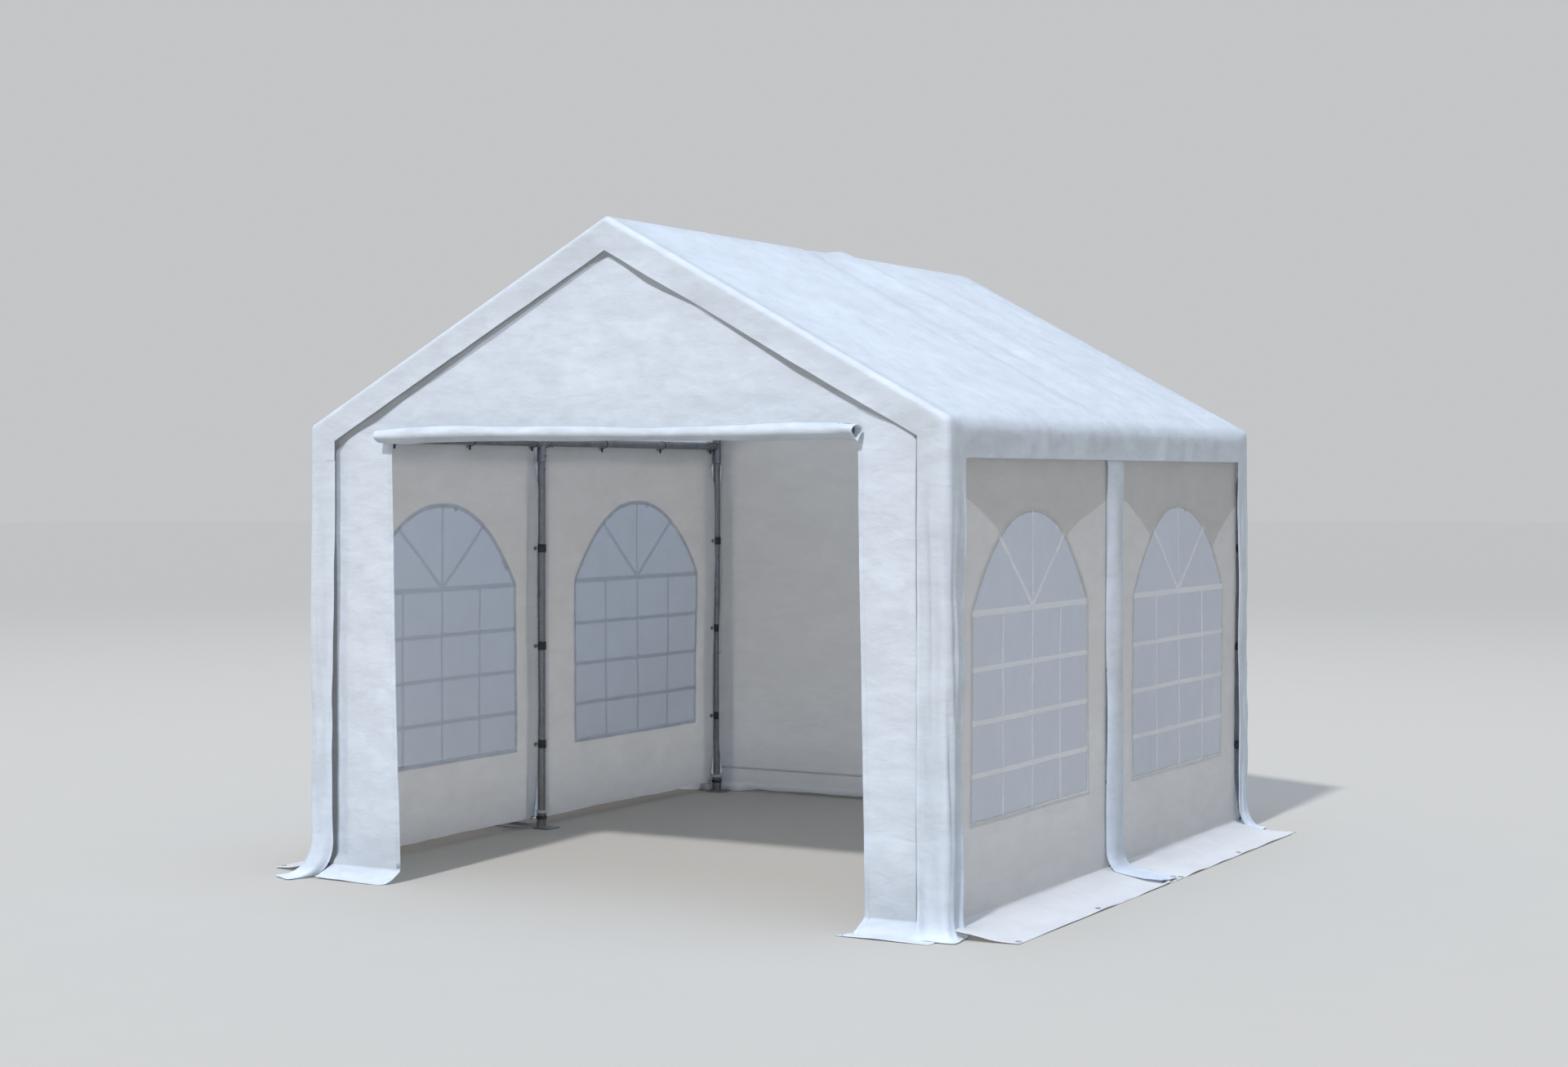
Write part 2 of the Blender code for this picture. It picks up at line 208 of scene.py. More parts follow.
def ripple(a, b, seed, size, stretch=1.0, terms=18):
    """Smooth random waves, about one unit high; size is their usual length, drawn out along b."""
    draw = np.random.default_rng(seed)
    total = 0.0
    for _ in range(terms):
        turn, phase = draw.uniform(0, math.tau, 2)
        rate = math.tau / (size * draw.uniform(0.6, 1.8))
        total = total + np.cos(
            rate * (a * math.cos(turn) + b * math.sin(turn) / stretch) + phase
        )
    return total / math.sqrt(terms / 2)


def ramp(value, low, high):
    """0 below low, 1 above high and smooth between them."""
    share = np.clip((value - low) / (high - low), 0, 1)
    return share * share * (3 - 2 * share)


def swell(value, middle, width):
    return np.exp(-(((value - middle) / width) ** 2))


def through(places, heights, value):
    """A smooth curve through heights at the given places."""
    knots = np.array(places, float)
    dense = np.linspace(knots[0], knots[-1], 400)
    line = np.interp(dense, knots, heights)
    reach = 30
    kernel = np.hanning(reach * 2 + 1)
    padded = np.pad(line, reach, mode="edge")
    return np.interp(value, dense, np.convolve(padded, kernel / kernel.sum(), mode="valid"))


def measured(line):
    """Distance along a line of points."""
    steps = np.linalg.norm(np.diff(line, axis=0), axis=1)
    return np.concatenate([[0.0], np.cumsum(steps)])


def resampled(line, spacing):
    """The line with even steps of about that spacing."""
    line = np.array(line, float)
    length = measured(line)
    count = max(2, int(round(length[-1] / spacing)) + 1)
    wanted = np.linspace(0, length[-1], count)
    return np.stack([np.interp(wanted, length, line[:, i]) for i in range(line.shape[1])], axis=1)


def rounded(line, spacing, reach):
    """The line resampled, with its corners rounded over that reach to each side."""
    even = resampled(line, spacing)
    window = max(1, int(round(reach / spacing)))
    kernel = np.hanning(window * 2 + 3)[1:-1]
    kernel = kernel / kernel.sum()
    before = even[0] + (even[0] - even[1]) * np.arange(window, 0, -1)[:, None]
    after = even[-1] + (even[-1] - even[-2]) * np.arange(1, window + 1)[:, None]
    padded = np.concatenate([before, even, after])
    return np.stack([np.convolve(padded[:, i], kernel, mode="valid") for i in range(2)], axis=1)


# Meshes


class Gathered:
    """The points and faces of one mesh, gathered from its parts."""

    def __init__(self):
        self.points = []
        self.faces = []
        self.count = 0

    def add(self, points, faces):
        self.points.append(np.asarray(points, float))
        self.faces += [tuple(i + self.count for i in face) for face in faces]
        self.count += len(points)

    def piece(self, name, material, slot, replaced=(), sharp=None):
        points = np.concatenate(self.points)
        return add_piece(name, points, self.faces, material, replaced, sharp)


def placed(name, data):
    """A new object of the scene."""
    thing = bpy.data.objects.new(name, data)
    bpy.context.scene.collection.objects.link(thing)
    return thing


def add_piece(name, points, faces, material, replaced=(), sharp=None):
    """A piece that rides on the tent's body and stands for the replaced nodes."""
    mesh = bpy.data.meshes.new(name)
    mesh.from_pydata(np.asarray(points).tolist(), [], faces)
    mesh.validate()
    mesh.shade_smooth()
    if sharp is not None:
        mesh.set_sharp_from_angle(angle=math.radians(sharp))
    mesh.materials.append(material)
    thing = placed(name, mesh)
    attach(thing, BODY)
    if replaced:
        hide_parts(*replaced)
    return thing


def grid_sheet(name, grid, material, replaced):
    """A piece of cloth over a grid of points."""
    faces = grid_faces(*grid.shape[:2])
    return add_piece(name, grid.reshape(-1, 3), faces, material, replaced)


def set_painted_shade(thing, values):
    """Marks how much painted shade each face gets, from 0 to 1: a darker cloth colour that stands
    in for shadow.
    """
    attribute = thing.data.attributes.new("painted_shade", "FLOAT", "FACE")
    attribute.data.foreach_set("value", values)


def thicken(thing, thickness):
    """Gives a sheet its thickness, half to each side, with crisp edges."""
    mesh = thing.data
    edges = np.empty(len(mesh.loops), int)
    mesh.loops.foreach_get("edge_index", edges)
    at_border = np.bincount(edges, minlength=len(mesh.edges)) == 1
    mesh.attributes.new("sharp_edge", "BOOLEAN", "EDGE").data.foreach_set("value", at_border)
    change = thing.modifiers.new("thickness", "SOLIDIFY")
    change.thickness = thickness
    change.offset = 0.0


def grid_faces(rows, columns, loop_rows=False, loop_columns=False):
    """Faces between rows and columns of points, listed row by row."""
    faces = []
    for i in range(rows if loop_rows else rows - 1):
        for j in range(columns if loop_columns else columns - 1):
            near, far = i * columns, ((i + 1) % rows) * columns
            k = (j + 1) % columns
            faces.append((near + j, near + k, far + k, far + j))
    return faces


def tube_faces(rows, columns):
    """Faces of a tube of points, with both of its ends closed."""
    last = (rows - 1) * columns
    ends = [tuple(range(columns - 1, -1, -1)), tuple(range(last, last + columns))]
    return grid_faces(rows, columns, loop_columns=True) + ends


def grid_normals(grid):
    """The normal at each point of a grid of points."""
    down = np.gradient(grid, axis=0)
    along = np.gradient(grid, axis=1)
    normal = np.cross(along, down)
    return normal / np.linalg.norm(normal, axis=2, keepdims=True)


def square_to(axis):
    """Two directions square to an axis and to each other."""
    aside = np.cross(axis, (0.0, 0.0, 1.0) if abs(axis[2]) < 0.9 else (1.0, 0.0, 0.0))
    aside /= np.linalg.norm(aside)
    return aside, np.cross(axis, aside)


def round_ways(aside, over, count):
    """Directions round a circle that starts at aside and turns to over."""
    turns = np.linspace(0, math.tau, count, endpoint=False)
    return np.cos(turns)[:, None] * aside + np.sin(turns)[:, None] * over


def lathe(profile, start, end, sides=28):
    """A round shape on the line from start to end; profile is (distance along, radius)."""
    start, end = np.array(start, float), np.array(end, float)
    axis = (end - start) / np.linalg.norm(end - start)
    ring = round_ways(*square_to(axis), sides)
    points = np.concatenate([start + axis * along + ring * radius for along, radius in profile])
    return points, [tuple(reversed(face)) for face in tube_faces(len(profile), sides)]


def bar_profile(length, radius, chamfer=0.0012):
    """A plain bar with broken edges."""
    return [
        (0, radius - chamfer),
        (chamfer, radius),
        (length - chamfer, radius),
        (length, radius - chamfer),
    ]


def swept(path, radius, sides=8, loop=False):
    """A round cord along a path of points."""
    path = np.array(path, float)
    if loop:
        ahead = np.roll(path, -1, axis=0) - np.roll(path, 1, axis=0)
    else:
        ahead = np.gradient(path, axis=0)
    ahead /= np.linalg.norm(ahead, axis=1, keepdims=True)
    spread = np.ptp(path, axis=0)
    guide = np.eye(3)[int(np.argmin(spread))]
    aside = np.cross(ahead, guide)
    aside /= np.linalg.norm(aside, axis=1, keepdims=True)
    over = np.cross(ahead, aside)
    turns = np.linspace(0, math.tau, sides, endpoint=False)
    ring = np.cos(turns)[:, None] * aside[:, None] + np.sin(turns)[:, None] * over[:, None]
    points = (path[:, None] + radius * ring).reshape(-1, 3)
    if loop:
        return points, grid_faces(len(path), sides, True, True)
    return points, tube_faces(len(path), sides)


def eyelet(place, normal, radius):
    """A rolled metal ring, flat on its sheet."""
    normal = np.array(normal, float) / np.linalg.norm(normal)
    ways = round_ways(*square_to(normal), 24)
    bends = np.linspace(0, math.tau, 8, endpoint=False)
    wide, thick = radius * 0.36, 0.0016
    points = [
        place + way * (radius + wide * math.cos(bend)) + normal * thick * math.sin(bend)
        for way in ways
        for bend in bends
    ]
    return np.array(points), grid_faces(len(ways), len(bends), True, True)


# Flat patterns


def is_inside(points, outline):
    """Which of the points are inside a closed outline."""
    x, y = points.T
    found = np.zeros(len(points), bool)
    for (x1, y1), (x2, y2) in zip(outline, np.roll(outline, -1, axis=0), strict=True):
        if y1 != y2:
            crosses = (y1 > y) != (y2 > y)
            found ^= crosses & (x < x1 + (y - y1) * (x2 - x1) / (y2 - y1))
    return found


def edge_distance(points, outline, closed=True):
    """How far each point is from the nearest edge of an outline or path."""
    best = np.full(len(points), np.inf)
    starts, ends = outline[:-1], outline[1:]
    if closed:
        starts, ends = outline, np.roll(outline, -1, axis=0)
    for start, end in zip(starts, ends, strict=True):
        run = end - start
        share = np.clip(((points - start) @ run) / max(run @ run, 1e-12), 0, 1)
        away = points - start - share[:, None] * run
        best = np.minimum(best, np.hypot(away[:, 0], away[:, 1]))
    return best


def stepped_path(points, spacing):
    """A path through the points with extra ones on its straight parts; its corners stay."""
    points = np.array(points, float)
    runs = []
    for start, end in zip(points[:-1], points[1:], strict=True):
        count = max(1, math.ceil(np.linalg.norm(end - start) / spacing))
        runs.append(start + (end - start) * np.arange(count)[:, None] / count)
    return np.concatenate([*runs, points[-1:]])


def stepped_outline(outline, spacing):
    """A closed outline with extra points on its straight parts."""
    return stepped_path([*outline, outline[0]], spacing)[:-1]


def circle(middle, radius):
    return np.array(middle) + radius * round_ways((1.0, 0.0), (0.0, 1.0), EYELET_SIDES)


def triangulated(field, loops, paths=()):
    """Triangles between loose points, with edges along loops and paths.

    Gives the points, the triangles and the triangles' middles.
    """
    points, edges, start = [np.reshape(field, (-1, 2))], [], len(field)
    for i, line in enumerate([*loops, *paths]):
        edges += [(start + j, start + j + 1) for j in range(len(line) - 1)]
        if i < len(loops):
            edges.append((start + len(line) - 1, start))
        points.append(line)
        start += len(line)
    points = [tuple(point) for point in np.concatenate(points).tolist()]
    result = delaunay_2d_cdt(points, edges, [], 0, 1e-7)
    made = np.array([tuple(point) for point in result[0]])
    faces = np.array([tuple(face) for face in result[2]])
    return made, faces, made[faces].mean(axis=1)


def cut(outline, holes, spacing, lines=()):
    """Cuts a flat pattern into even triangles, with edges along the lines: points and triangles."""
    outer = stepped_outline(outline, spacing)
    inner = [stepped_outline(hole, spacing) for hole in holes]
    low, high = outer.min(axis=0), outer.max(axis=0)
    rows = np.arange(low[1] + spacing / 2, high[1], spacing * math.sqrt(3) / 2)
    columns = np.arange(low[0] - spacing, high[0] + spacing, spacing)
    offset = (np.arange(len(rows)) % 2)[:, None] * spacing / 2
    field = np.stack([(columns + offset).ravel(), np.repeat(rows, len(columns))], axis=1)
    keep = is_inside(field, outer) & (edge_distance(field, outer) > 0.55 * spacing)
    for hole in inner:
        around = (field > hole.min(axis=0) - spacing) & (field < hole.max(axis=0) + spacing)
        near = np.flatnonzero(around.all(axis=1))
        close = edge_distance(field[near], hole) < 0.5 * spacing
        keep[near[is_inside(field[near], hole) | close]] = False
    paths = [stepped_path(line, spacing) for line in lines]
    for path in paths:
        keep &= edge_distance(field, path, closed=False) > 0.5 * spacing
    points, faces, middles = triangulated(field[keep], [outer, *inner], paths)
    keep = is_inside(middles, outer)
    for hole in inner:
        keep &= ~is_inside(middles, hole)
    return points, faces[keep]


def cut_shapes(shapes, spacing):
    """Flat shapes that may cross, cut as one piece."""
    loops = [stepped_outline(shape, spacing) for shape in shapes]
    points, faces, middles = triangulated([], loops)
    keep = np.zeros(len(faces), bool)
    for shape in shapes:
        keep |= is_inside(middles, shape)
    return points, faces[keep]


class Hanging:
    """A hanging sheet: where the points of its flat pattern are in the tent.

    A pattern point is (place along the wall, height along the cloth). The fall is the line that
    the cloth follows, as (distance outwards, height), and the pattern's height is the true height
    on its plumb part. shift gives how far the cloth stands out of that line.
    """

    def __init__(self, fall, place, shift):
        line = rounded(fall, 0.002, 0.006)
        length = measured(line)
        self.height = line[0, 1] - length
        self.line = line
        run = np.gradient(line, axis=0)
        run /= np.linalg.norm(run, axis=1, keepdims=True)
        self.normal = np.stack([-run[:, 1], run[:, 0]], axis=1)
        self.place = place
        self.shift = shift

    def follow(self, column, height):
        return np.interp(-height, -self.height, column)

    def at(self, points, lift=0.0):
        points = np.asarray(points, float)
        along, height = points[:, 0], points[:, 1]
        stand = self.shift(along, height) + lift
        out = self.follow(self.line[:, 0], height) + self.follow(self.normal[:, 0], height) * stand
        up = self.follow(self.line[:, 1], height) + self.follow(self.normal[:, 1], height) * stand
        return self.place(along, out, np.maximum(up, LOW_LIFT))

    def facing(self, point):
        """A point of the sheet in the tent, and the way out of the cloth there."""
        step = 0.004
        along, height = point
        near = [(along - step, height), (along + step, height)]
        near += [(along, height - step), (along, height + step)]
        spots = self.at([point, *near])
        normal = np.cross(spots[2] - spots[1], spots[4] - spots[3])
        outwards = self.at([point], 0.02)[0] - spots[0]
        normal *= np.sign(normal @ outwards) / np.linalg.norm(normal)
        return spots[0], normal

    def sheet(self, name, outline, holes, material, replaced, painted_shade=(), fold=None):
        """The sheet as a piece, folded at a height.

        Above each line given for painted shade, the cloth gets a darker colour that stands in for
        shadow; an entry is the line and how dark the cloth above it is, from 0 to 1.
        """
        lines = [line for line, _ in painted_shade]
        if fold is not None:
            ends = np.array(outline)[:, 0].min(), np.array(outline)[:, 0].max()
            for step in (-0.006, -0.002, 0.002, 0.006):
                lines.append([(ends[0] + 0.004, fold + step), (ends[1] - 0.004, fold + step)])
        points, faces = cut(outline, holes, WALL_SPACING, lines)
        thing = add_piece(name, self.at(points), faces.tolist(), material, replaced)
        middles = points[faces].mean(axis=1)
        dark = np.zeros(len(faces))
        for line, share in painted_shade:
            above = middles[:, 1] > np.interp(middles[:, 0], *np.array(line).T, 9.0, 9.0)
            dark[above] = np.maximum(dark[above], share)
        set_painted_shade(thing, dark)
        return thing

    def welt(self, path, section, loop=True):
        """A strip along a path on the sheet; section is (distance to the path's left, lift)."""
        path = np.array(path, float)
        if loop:
            before, after = np.roll(path, 1, axis=0), np.roll(path, -1, axis=0)
        else:
            before = np.concatenate([[2 * path[0] - path[1]], path[:-1]])
            after = np.concatenate([path[1:], [2 * path[-1] - path[-2]]])
        first = path - before
        second = after - path
        first /= np.linalg.norm(first, axis=1, keepdims=True)
        second /= np.linalg.norm(second, axis=1, keepdims=True)
        ways = first + second
        ways /= np.linalg.norm(ways, axis=1, keepdims=True)
        left = np.stack([-ways[:, 1], ways[:, 0]], axis=1)
        turn = np.clip((ways * second).sum(axis=1), 0.5, 1.0)
        left /= turn[:, None]
        rows = [self.at(path + left * inward, lift) for inward, lift in section]
        points = np.stack(rows, axis=1).reshape(-1, 3)
        if loop:
            return points, grid_faces(len(path), len(section), True, True)
        return points, tube_faces(len(path), len(section))


def hem_section(width, half):
    """A folded hem round the edge of a sheet, as seen end on."""
    return [
        (-0.0012, 0.0),
        (-0.0004, half * 0.8),
        (0.003, half),
        (width * 0.5, half * 0.9),
        (width - 0.003, half),
        (width, half * 0.3),
        (width, -half * 0.3),
        (width - 0.003, -half),
        (width * 0.5, -half * 0.9),
        (0.003, -half),
        (-0.0004, -half * 0.8),
    ]


def tape_section():
    """The white tape round a wall's edge beside a post."""
    upper = [(-0.0092, 0.0014), (-0.0088, 0.0026), (0.0004, 0.0026), (0.0012, 0.0012)]
    return upper + [(inward, -lift) for inward, lift in reversed(upper)]


def turned_in(section):
    """The section on the other side of its path."""
    return [(-inward, lift) for inward, lift in section][::-1]


def weld_section(width):
    """The flat weld round a window, thin towards the film."""
    upper = [(-0.006, 0.0002), (0.003, 0.0010), (width - 0.003, 0.0011), (width, 0.0002)]
    return upper + [(inward, -lift) for inward, lift in reversed(upper)]


# Materials


class Nodes:
    """Adds nodes to a material and joins them."""

    def __init__(self, name):
        self.material = bpy.data.materials.new(name)
        self.material.use_nodes = True
        self.tree = self.material.node_tree
        self.shader = self.tree.nodes["Principled BSDF"]
        self.output = self.tree.nodes["Material Output"]
        self.place = self.add("ShaderNodeTexCoord").outputs["Object"]

    def feed(self, node, inputs):
        """Joins sockets to a node's inputs, and sets its other inputs to plain values."""
        for key, value in inputs.items():
            if isinstance(value, bpy.types.NodeSocket):
                self.tree.links.new(value, node.inputs[key])
            else:
                node.inputs[key].default_value = value

    def add(self, kind, inputs=None, **settings):
        node = self.tree.nodes.new(kind)
        for key, value in settings.items():
            setattr(node, key, value)
        self.feed(node, inputs or {})
        return node

    def stretched(self, scale):
        inputs = {"Vector": self.place, "Scale": scale}
        return self.add("ShaderNodeMapping", inputs).outputs["Vector"]

    def noise(self, scale, detail, roughness=0.5, distortion=0.0, vector=None):
        inputs = {
            "Vector": self.place if vector is None else vector,
            "Scale": scale,
            "Detail": detail,
            "Roughness": roughness,
            "Distortion": distortion,
        }
        return self.add("ShaderNodeTexNoise", inputs).outputs["Fac"]

    def spread(self, value, low, high, to_low, to_high):
        inputs = {"Value": value, 1: low, 2: high, 3: to_low, 4: to_high}
        return self.add("ShaderNodeMapRange", inputs).outputs["Result"]

    def combined(self, operation, first, second, clamp=False):
        """One value made of two."""
        inputs = {0: first, 1: second}
        node = self.add("ShaderNodeMath", inputs, operation=operation, use_clamp=clamp)
        return node.outputs[0]

    def mixed(self, factor, first, second, blend="MIX"):
        inputs = {0: factor, 6: first, 7: second}
        return self.add("ShaderNodeMix", inputs, data_type="RGBA", blend_type=blend).outputs[2]

    def bumped(self, height, distance, strength, before=None):
        inputs = {"Height": height, "Distance": distance, "Strength": strength}
        if before is not None:
            inputs["Normal"] = before
        return self.add("ShaderNodeBump", inputs).outputs["Normal"]

    def surface(self, share, first, second):
        """The material's surface: the first shader, with a share of the second."""
        mix = self.add("ShaderNodeMixShader", {0: share, 1: first.outputs[0], 2: second.outputs[0]})
        self.feed(self.output, {"Surface": mix.outputs[0]})


def tint(colour, factor, warmth=0.0):
    """The colour made lighter or darker, and a little warmer."""
    return (
        min(1.0, colour[0] * (factor + warmth)),
        min(1.0, colour[1] * factor),
        min(1.0, colour[2] * (factor - warmth)),
        1.0,
    )


# How much of the light that falls on a sheet goes through it
LIGHT_THROUGH_CLOTH = 0.58
LIGHT_THROUGH_HEMS = 0.74
LIGHT_THROUGH_BARS = 0.55


def cloth_material(
    name,
    colour,
    roughness,
    streaks,
    mottle,
    painted_shade_tone,
    painted_top_shade=1.0,
    painted_foot_shade=1.0,
    light_through=LIGHT_THROUGH_CLOTH,
):
    """Coated cloth: clouded, faintly woven and creased, and lit a little from behind."""
    nodes = Nodes(name)
    level = nodes.stretched((1.0, 1.0, 2.4))
    clouds = nodes.noise(3.4, 4.0, 0.58, 0.8, level)
    patches = nodes.noise(9.0, 4.0, 0.55, 0.6, level)
    flecks = nodes.noise(26.0, 4.0, 0.55, 0.4, level)
    drawn = nodes.noise(9.0, 5.0, 0.65, 0.2, nodes.stretched(streaks))
    tone = nodes.mixed(
        nodes.spread(clouds, 0.34, 0.66, 0.0, 1.0),
        tint(colour, 1 - 0.055 * mottle),
        tint(colour, 1 + 0.03 * mottle),
    )
    for pattern, low, high, share, other in (
        (patches, 0.42, 0.70, 0.65, tint(colour, 0.885, 0.004)),
        (flecks, 0.50, 0.72, 0.30, tint(colour, 1.06, -0.004)),
        (drawn, 0.54, 0.76, 0.35, tint(colour, 1.04, -0.004)),
    ):
        tone = nodes.mixed(nodes.spread(pattern, low, high, 0.0, share * mottle), tone, other)

    # Painted shade on the marked faces, painted shade towards the top, painted blue bounce light
    # towards the foot, and painted shade above the ground flap's fold
    heights = nodes.add("ShaderNodeSeparateXYZ", {"Vector": nodes.place}).outputs["Z"]
    painted_shade = nodes.add("ShaderNodeAttribute", attribute_name="painted_shade").outputs["Fac"]
    above_fold = nodes.spread(heights, 0.049, 0.056, 0.0, 1.0)
    low_wall = nodes.spread(heights, 0.05, 0.32, 1.0, 0.0)
    for share, by in (
        (painted_shade, (*painted_shade_tone, 1.0)),
        (nodes.spread(heights, 0.25, 1.45, 0.0, 1.0), (painted_top_shade, painted_top_shade, painted_top_shade, 1.0)),
        (nodes.spread(heights, 0.10, 0.95, 1.0, 0.0), (0.99, 1.005, 1.025, 1.0)),
        (
            nodes.combined("MULTIPLY", above_fold, low_wall),
            (painted_foot_shade, painted_foot_shade, painted_foot_shade, 1.0),
        ),
    ):
        tone = nodes.mixed(share, tone, by, "MULTIPLY")
    near_ground = nodes.spread(heights, 0.0, 0.05, 0.04, 0.0)
    soil = nodes.spread(nodes.noise(26.0, 6.0, 0.7, 0.5), 0.55, 0.80, 0.0, 1.0)
    dirt = nodes.combined("MULTIPLY", near_ground, soil)
    tone = nodes.mixed(dirt, tone, (0.50, 0.49, 0.42, 1.0))

    threads = [
        nodes.add(
            "ShaderNodeTexWave",
            {"Vector": nodes.place, "Scale": 190.0, "Distortion": 0.4},
            wave_type="BANDS",
            bands_direction=way,
        ).outputs["Fac"]
        for way in ("Z", "DIAGONAL")
    ]
    crinkles = nodes.noise(38.0, 6.0, 0.62, 0.35)
    folds = nodes.noise(8.0, 3.0, 0.5, 0.9, level)
    normal = nodes.bumped(nodes.combined("ADD", *threads), 0.00012, 0.5)
    normal = nodes.bumped(crinkles, 0.0013, 0.6, normal)
    normal = nodes.bumped(drawn, 0.0022, 0.5, normal)
    normal = nodes.bumped(folds, 0.010, 0.5, normal)
    worn = nodes.spread(crinkles, 0.3, 0.7, roughness - 0.06, roughness + 0.08)
    nodes.feed(
        nodes.shader,
        {"Base Color": tone, "Normal": normal, "Roughness": worn, "Specular IOR Level": 0.38},
    )
    behind = nodes.add("ShaderNodeBsdfTranslucent", {"Color": tone, "Normal": normal})
    nodes.surface(nodes.spread(heights, 0.012, 0.048, 0.44, light_through), nodes.shader, behind)
    return nodes.material


def film_material(name, colour):
    """Clear soft film: see-through, with a little haze and gloss."""
    nodes = Nodes(name)
    haze = nodes.noise(3.0, 4.0, 0.6, 0.8)
    scuffs = nodes.noise(30.0, 5.0, 0.7, 0.2, nodes.stretched((1.0, 1.0, 5.0)))
    normal = nodes.bumped(nodes.noise(5.0, 2.0, 0.5, 0.6), 0.004, 0.6)
    gloss = {
        "Base Color": (0.84, 0.87, 0.93, 1.0),
        "Specular IOR Level": 0.5,
        "Roughness": nodes.spread(scuffs, 0.4, 0.8, 0.10, 0.24),
        "Normal": normal,
    }
    nodes.feed(nodes.shader, gloss)
    clear = nodes.add("ShaderNodeBsdfTransparent", {"Color": (*colour, 1.0)})
    veil = nodes.spread(haze, 0.35, 0.75, 0.05, 0.11)
    edge = nodes.add("ShaderNodeFresnel", {"IOR": 1.42, "Normal": normal}).outputs["Fac"]
    nodes.surface(nodes.combined("ADD", veil, edge, clamp=True), clear, nodes.shader)
    return nodes.material


def bar_material(name, colour):
    """White bars welded on the film; a little light comes through them."""
    nodes = Nodes(name)
    grain = nodes.noise(60.0, 4.0, 0.6)
    share = nodes.spread(grain, 0.35, 0.7, 0.0, 1.0)
    paint = nodes.mixed(share, tint(colour, 0.95), tint(colour, 1.04))
    rough = nodes.spread(grain, 0.3, 0.7, 0.30, 0.42)
    normal = nodes.bumped(grain, 0.0004, 0.5)
    nodes.feed(nodes.shader, {"Base Color": paint, "Roughness": rough, "Normal": normal})
    behind = nodes.add("ShaderNodeBsdfTranslucent", {"Color": paint})
    nodes.surface(LIGHT_THROUGH_BARS, nodes.shader, behind)
    return nodes.material


def steel_material(name, colour):
    """Galvanised tube: dull zinc with a fine spangle, rubbed and a little stained."""
    nodes = Nodes(name)
    inputs = {"Vector": nodes.place, "Scale": 130.0, "Randomness": 1.0}
    cells = nodes.add("ShaderNodeTexVoronoi", inputs).outputs["Distance"]
    stains = nodes.noise(11.0, 5.0, 0.65, 0.4)
    rubbed = nodes.noise(90.0, 3.0, 0.6, 0.0, nodes.stretched((1.0, 1.0, 0.04)))
    metal = tint(colour, 0.86)
    for pattern, low, high, share, other in (
        (cells, 0.1, 0.6, 1.0, tint(colour, 1.18)),
        (stains, 0.50, 0.75, 0.55, tint(colour, 0.62, 0.03)),
        (rubbed, 0.55, 0.8, 0.4, tint(colour, 1.5)),
    ):
        metal = nodes.mixed(nodes.spread(pattern, low, high, 0.0, share), metal, other)
    rough = nodes.spread(stains, 0.3, 0.7, 0.36, 0.55)
    normal = nodes.bumped(rubbed, 0.0004, 0.35, nodes.bumped(cells, 0.0003, 0.35))
    nodes.feed(
        nodes.shader,
        {"Base Color": metal, "Metallic": 0.75, "Roughness": rough, "Normal": normal},
    )
    return nodes.material


def plastic_material(name, colour):
    """Moulded black plastic and rubber cord, finely grained."""
    nodes = Nodes(name)
    worn = nodes.noise(40.0, 4.0, 0.6)
    share = nodes.spread(worn, 0.45, 0.8, 0.0, 1.0)
    paint = nodes.mixed(share, tint(colour, 1.0), tint(colour, 2.6))
    rough = nodes.spread(worn, 0.3, 0.7, 0.38, 0.55)
    normal = nodes.bumped(nodes.noise(700.0, 3.0, 0.6), 0.0002, 0.4)
    nodes.feed(nodes.shader, {"Base Color": paint, "Roughness": rough, "Normal": normal})
    return nodes.material


def finish_of(name):
    """The material of that name, made at its first use."""
    if name in bpy.data.materials:
        return bpy.data.materials[name]
    colours = bpy.context.scene.tent_colours
    makers = {
        "coated_cover": lambda: cloth_material(
            name, colours.cover, 0.46, (0.9, 9.0, 1.0), 0.7, (1.0, 1.0, 1.0)
        ),
        # The front wall's painted shade tone darkens the shadows under the gable bands, beside the
        # leg covers and in the roll's end; its foot tone is painted shade
        "coated_wall": lambda: cloth_material(
            name, colours.wall, 0.50, (1.0, 1.0, 4.0), 0.9, (0.60, 0.58, 0.55), painted_foot_shade=0.88
        ),
        "coated_hem": lambda: cloth_material(
            name,
            colours.wall,
            0.50,
            (1.0, 1.0, 4.0),
            0.9,
            (1.0, 1.0, 1.0),
            light_through=LIGHT_THROUGH_HEMS,
        ),
        # The panels' painted shade tone, painted top shade and painted foot shade darken the walls
        # where shade falls
        "coated_panel": lambda: cloth_material(
            name, colours.panel, 0.52, (1.0, 1.0, 4.0), 0.4, (0.87, 0.865, 0.86), 0.94, 0.92
        ),
        "clear_film": lambda: film_material(name, colours.film),
        "film_bar": lambda: bar_material(name, colours.bar),
        "tube_zinc": lambda: steel_material(name, colours.steel),
        "eyelet_metal": lambda: steel_material(name, [c * 1.5 for c in colours.steel]),
        "black_plastic": lambda: plastic_material(name, colours.black),
    }
    return makers[name]()


# Roof cover


# Places along the cover's section, from the valance's foot
SLOPE_START = 0.16
SLOPE_END = 1.86
CREASE_PLACE = 0.235


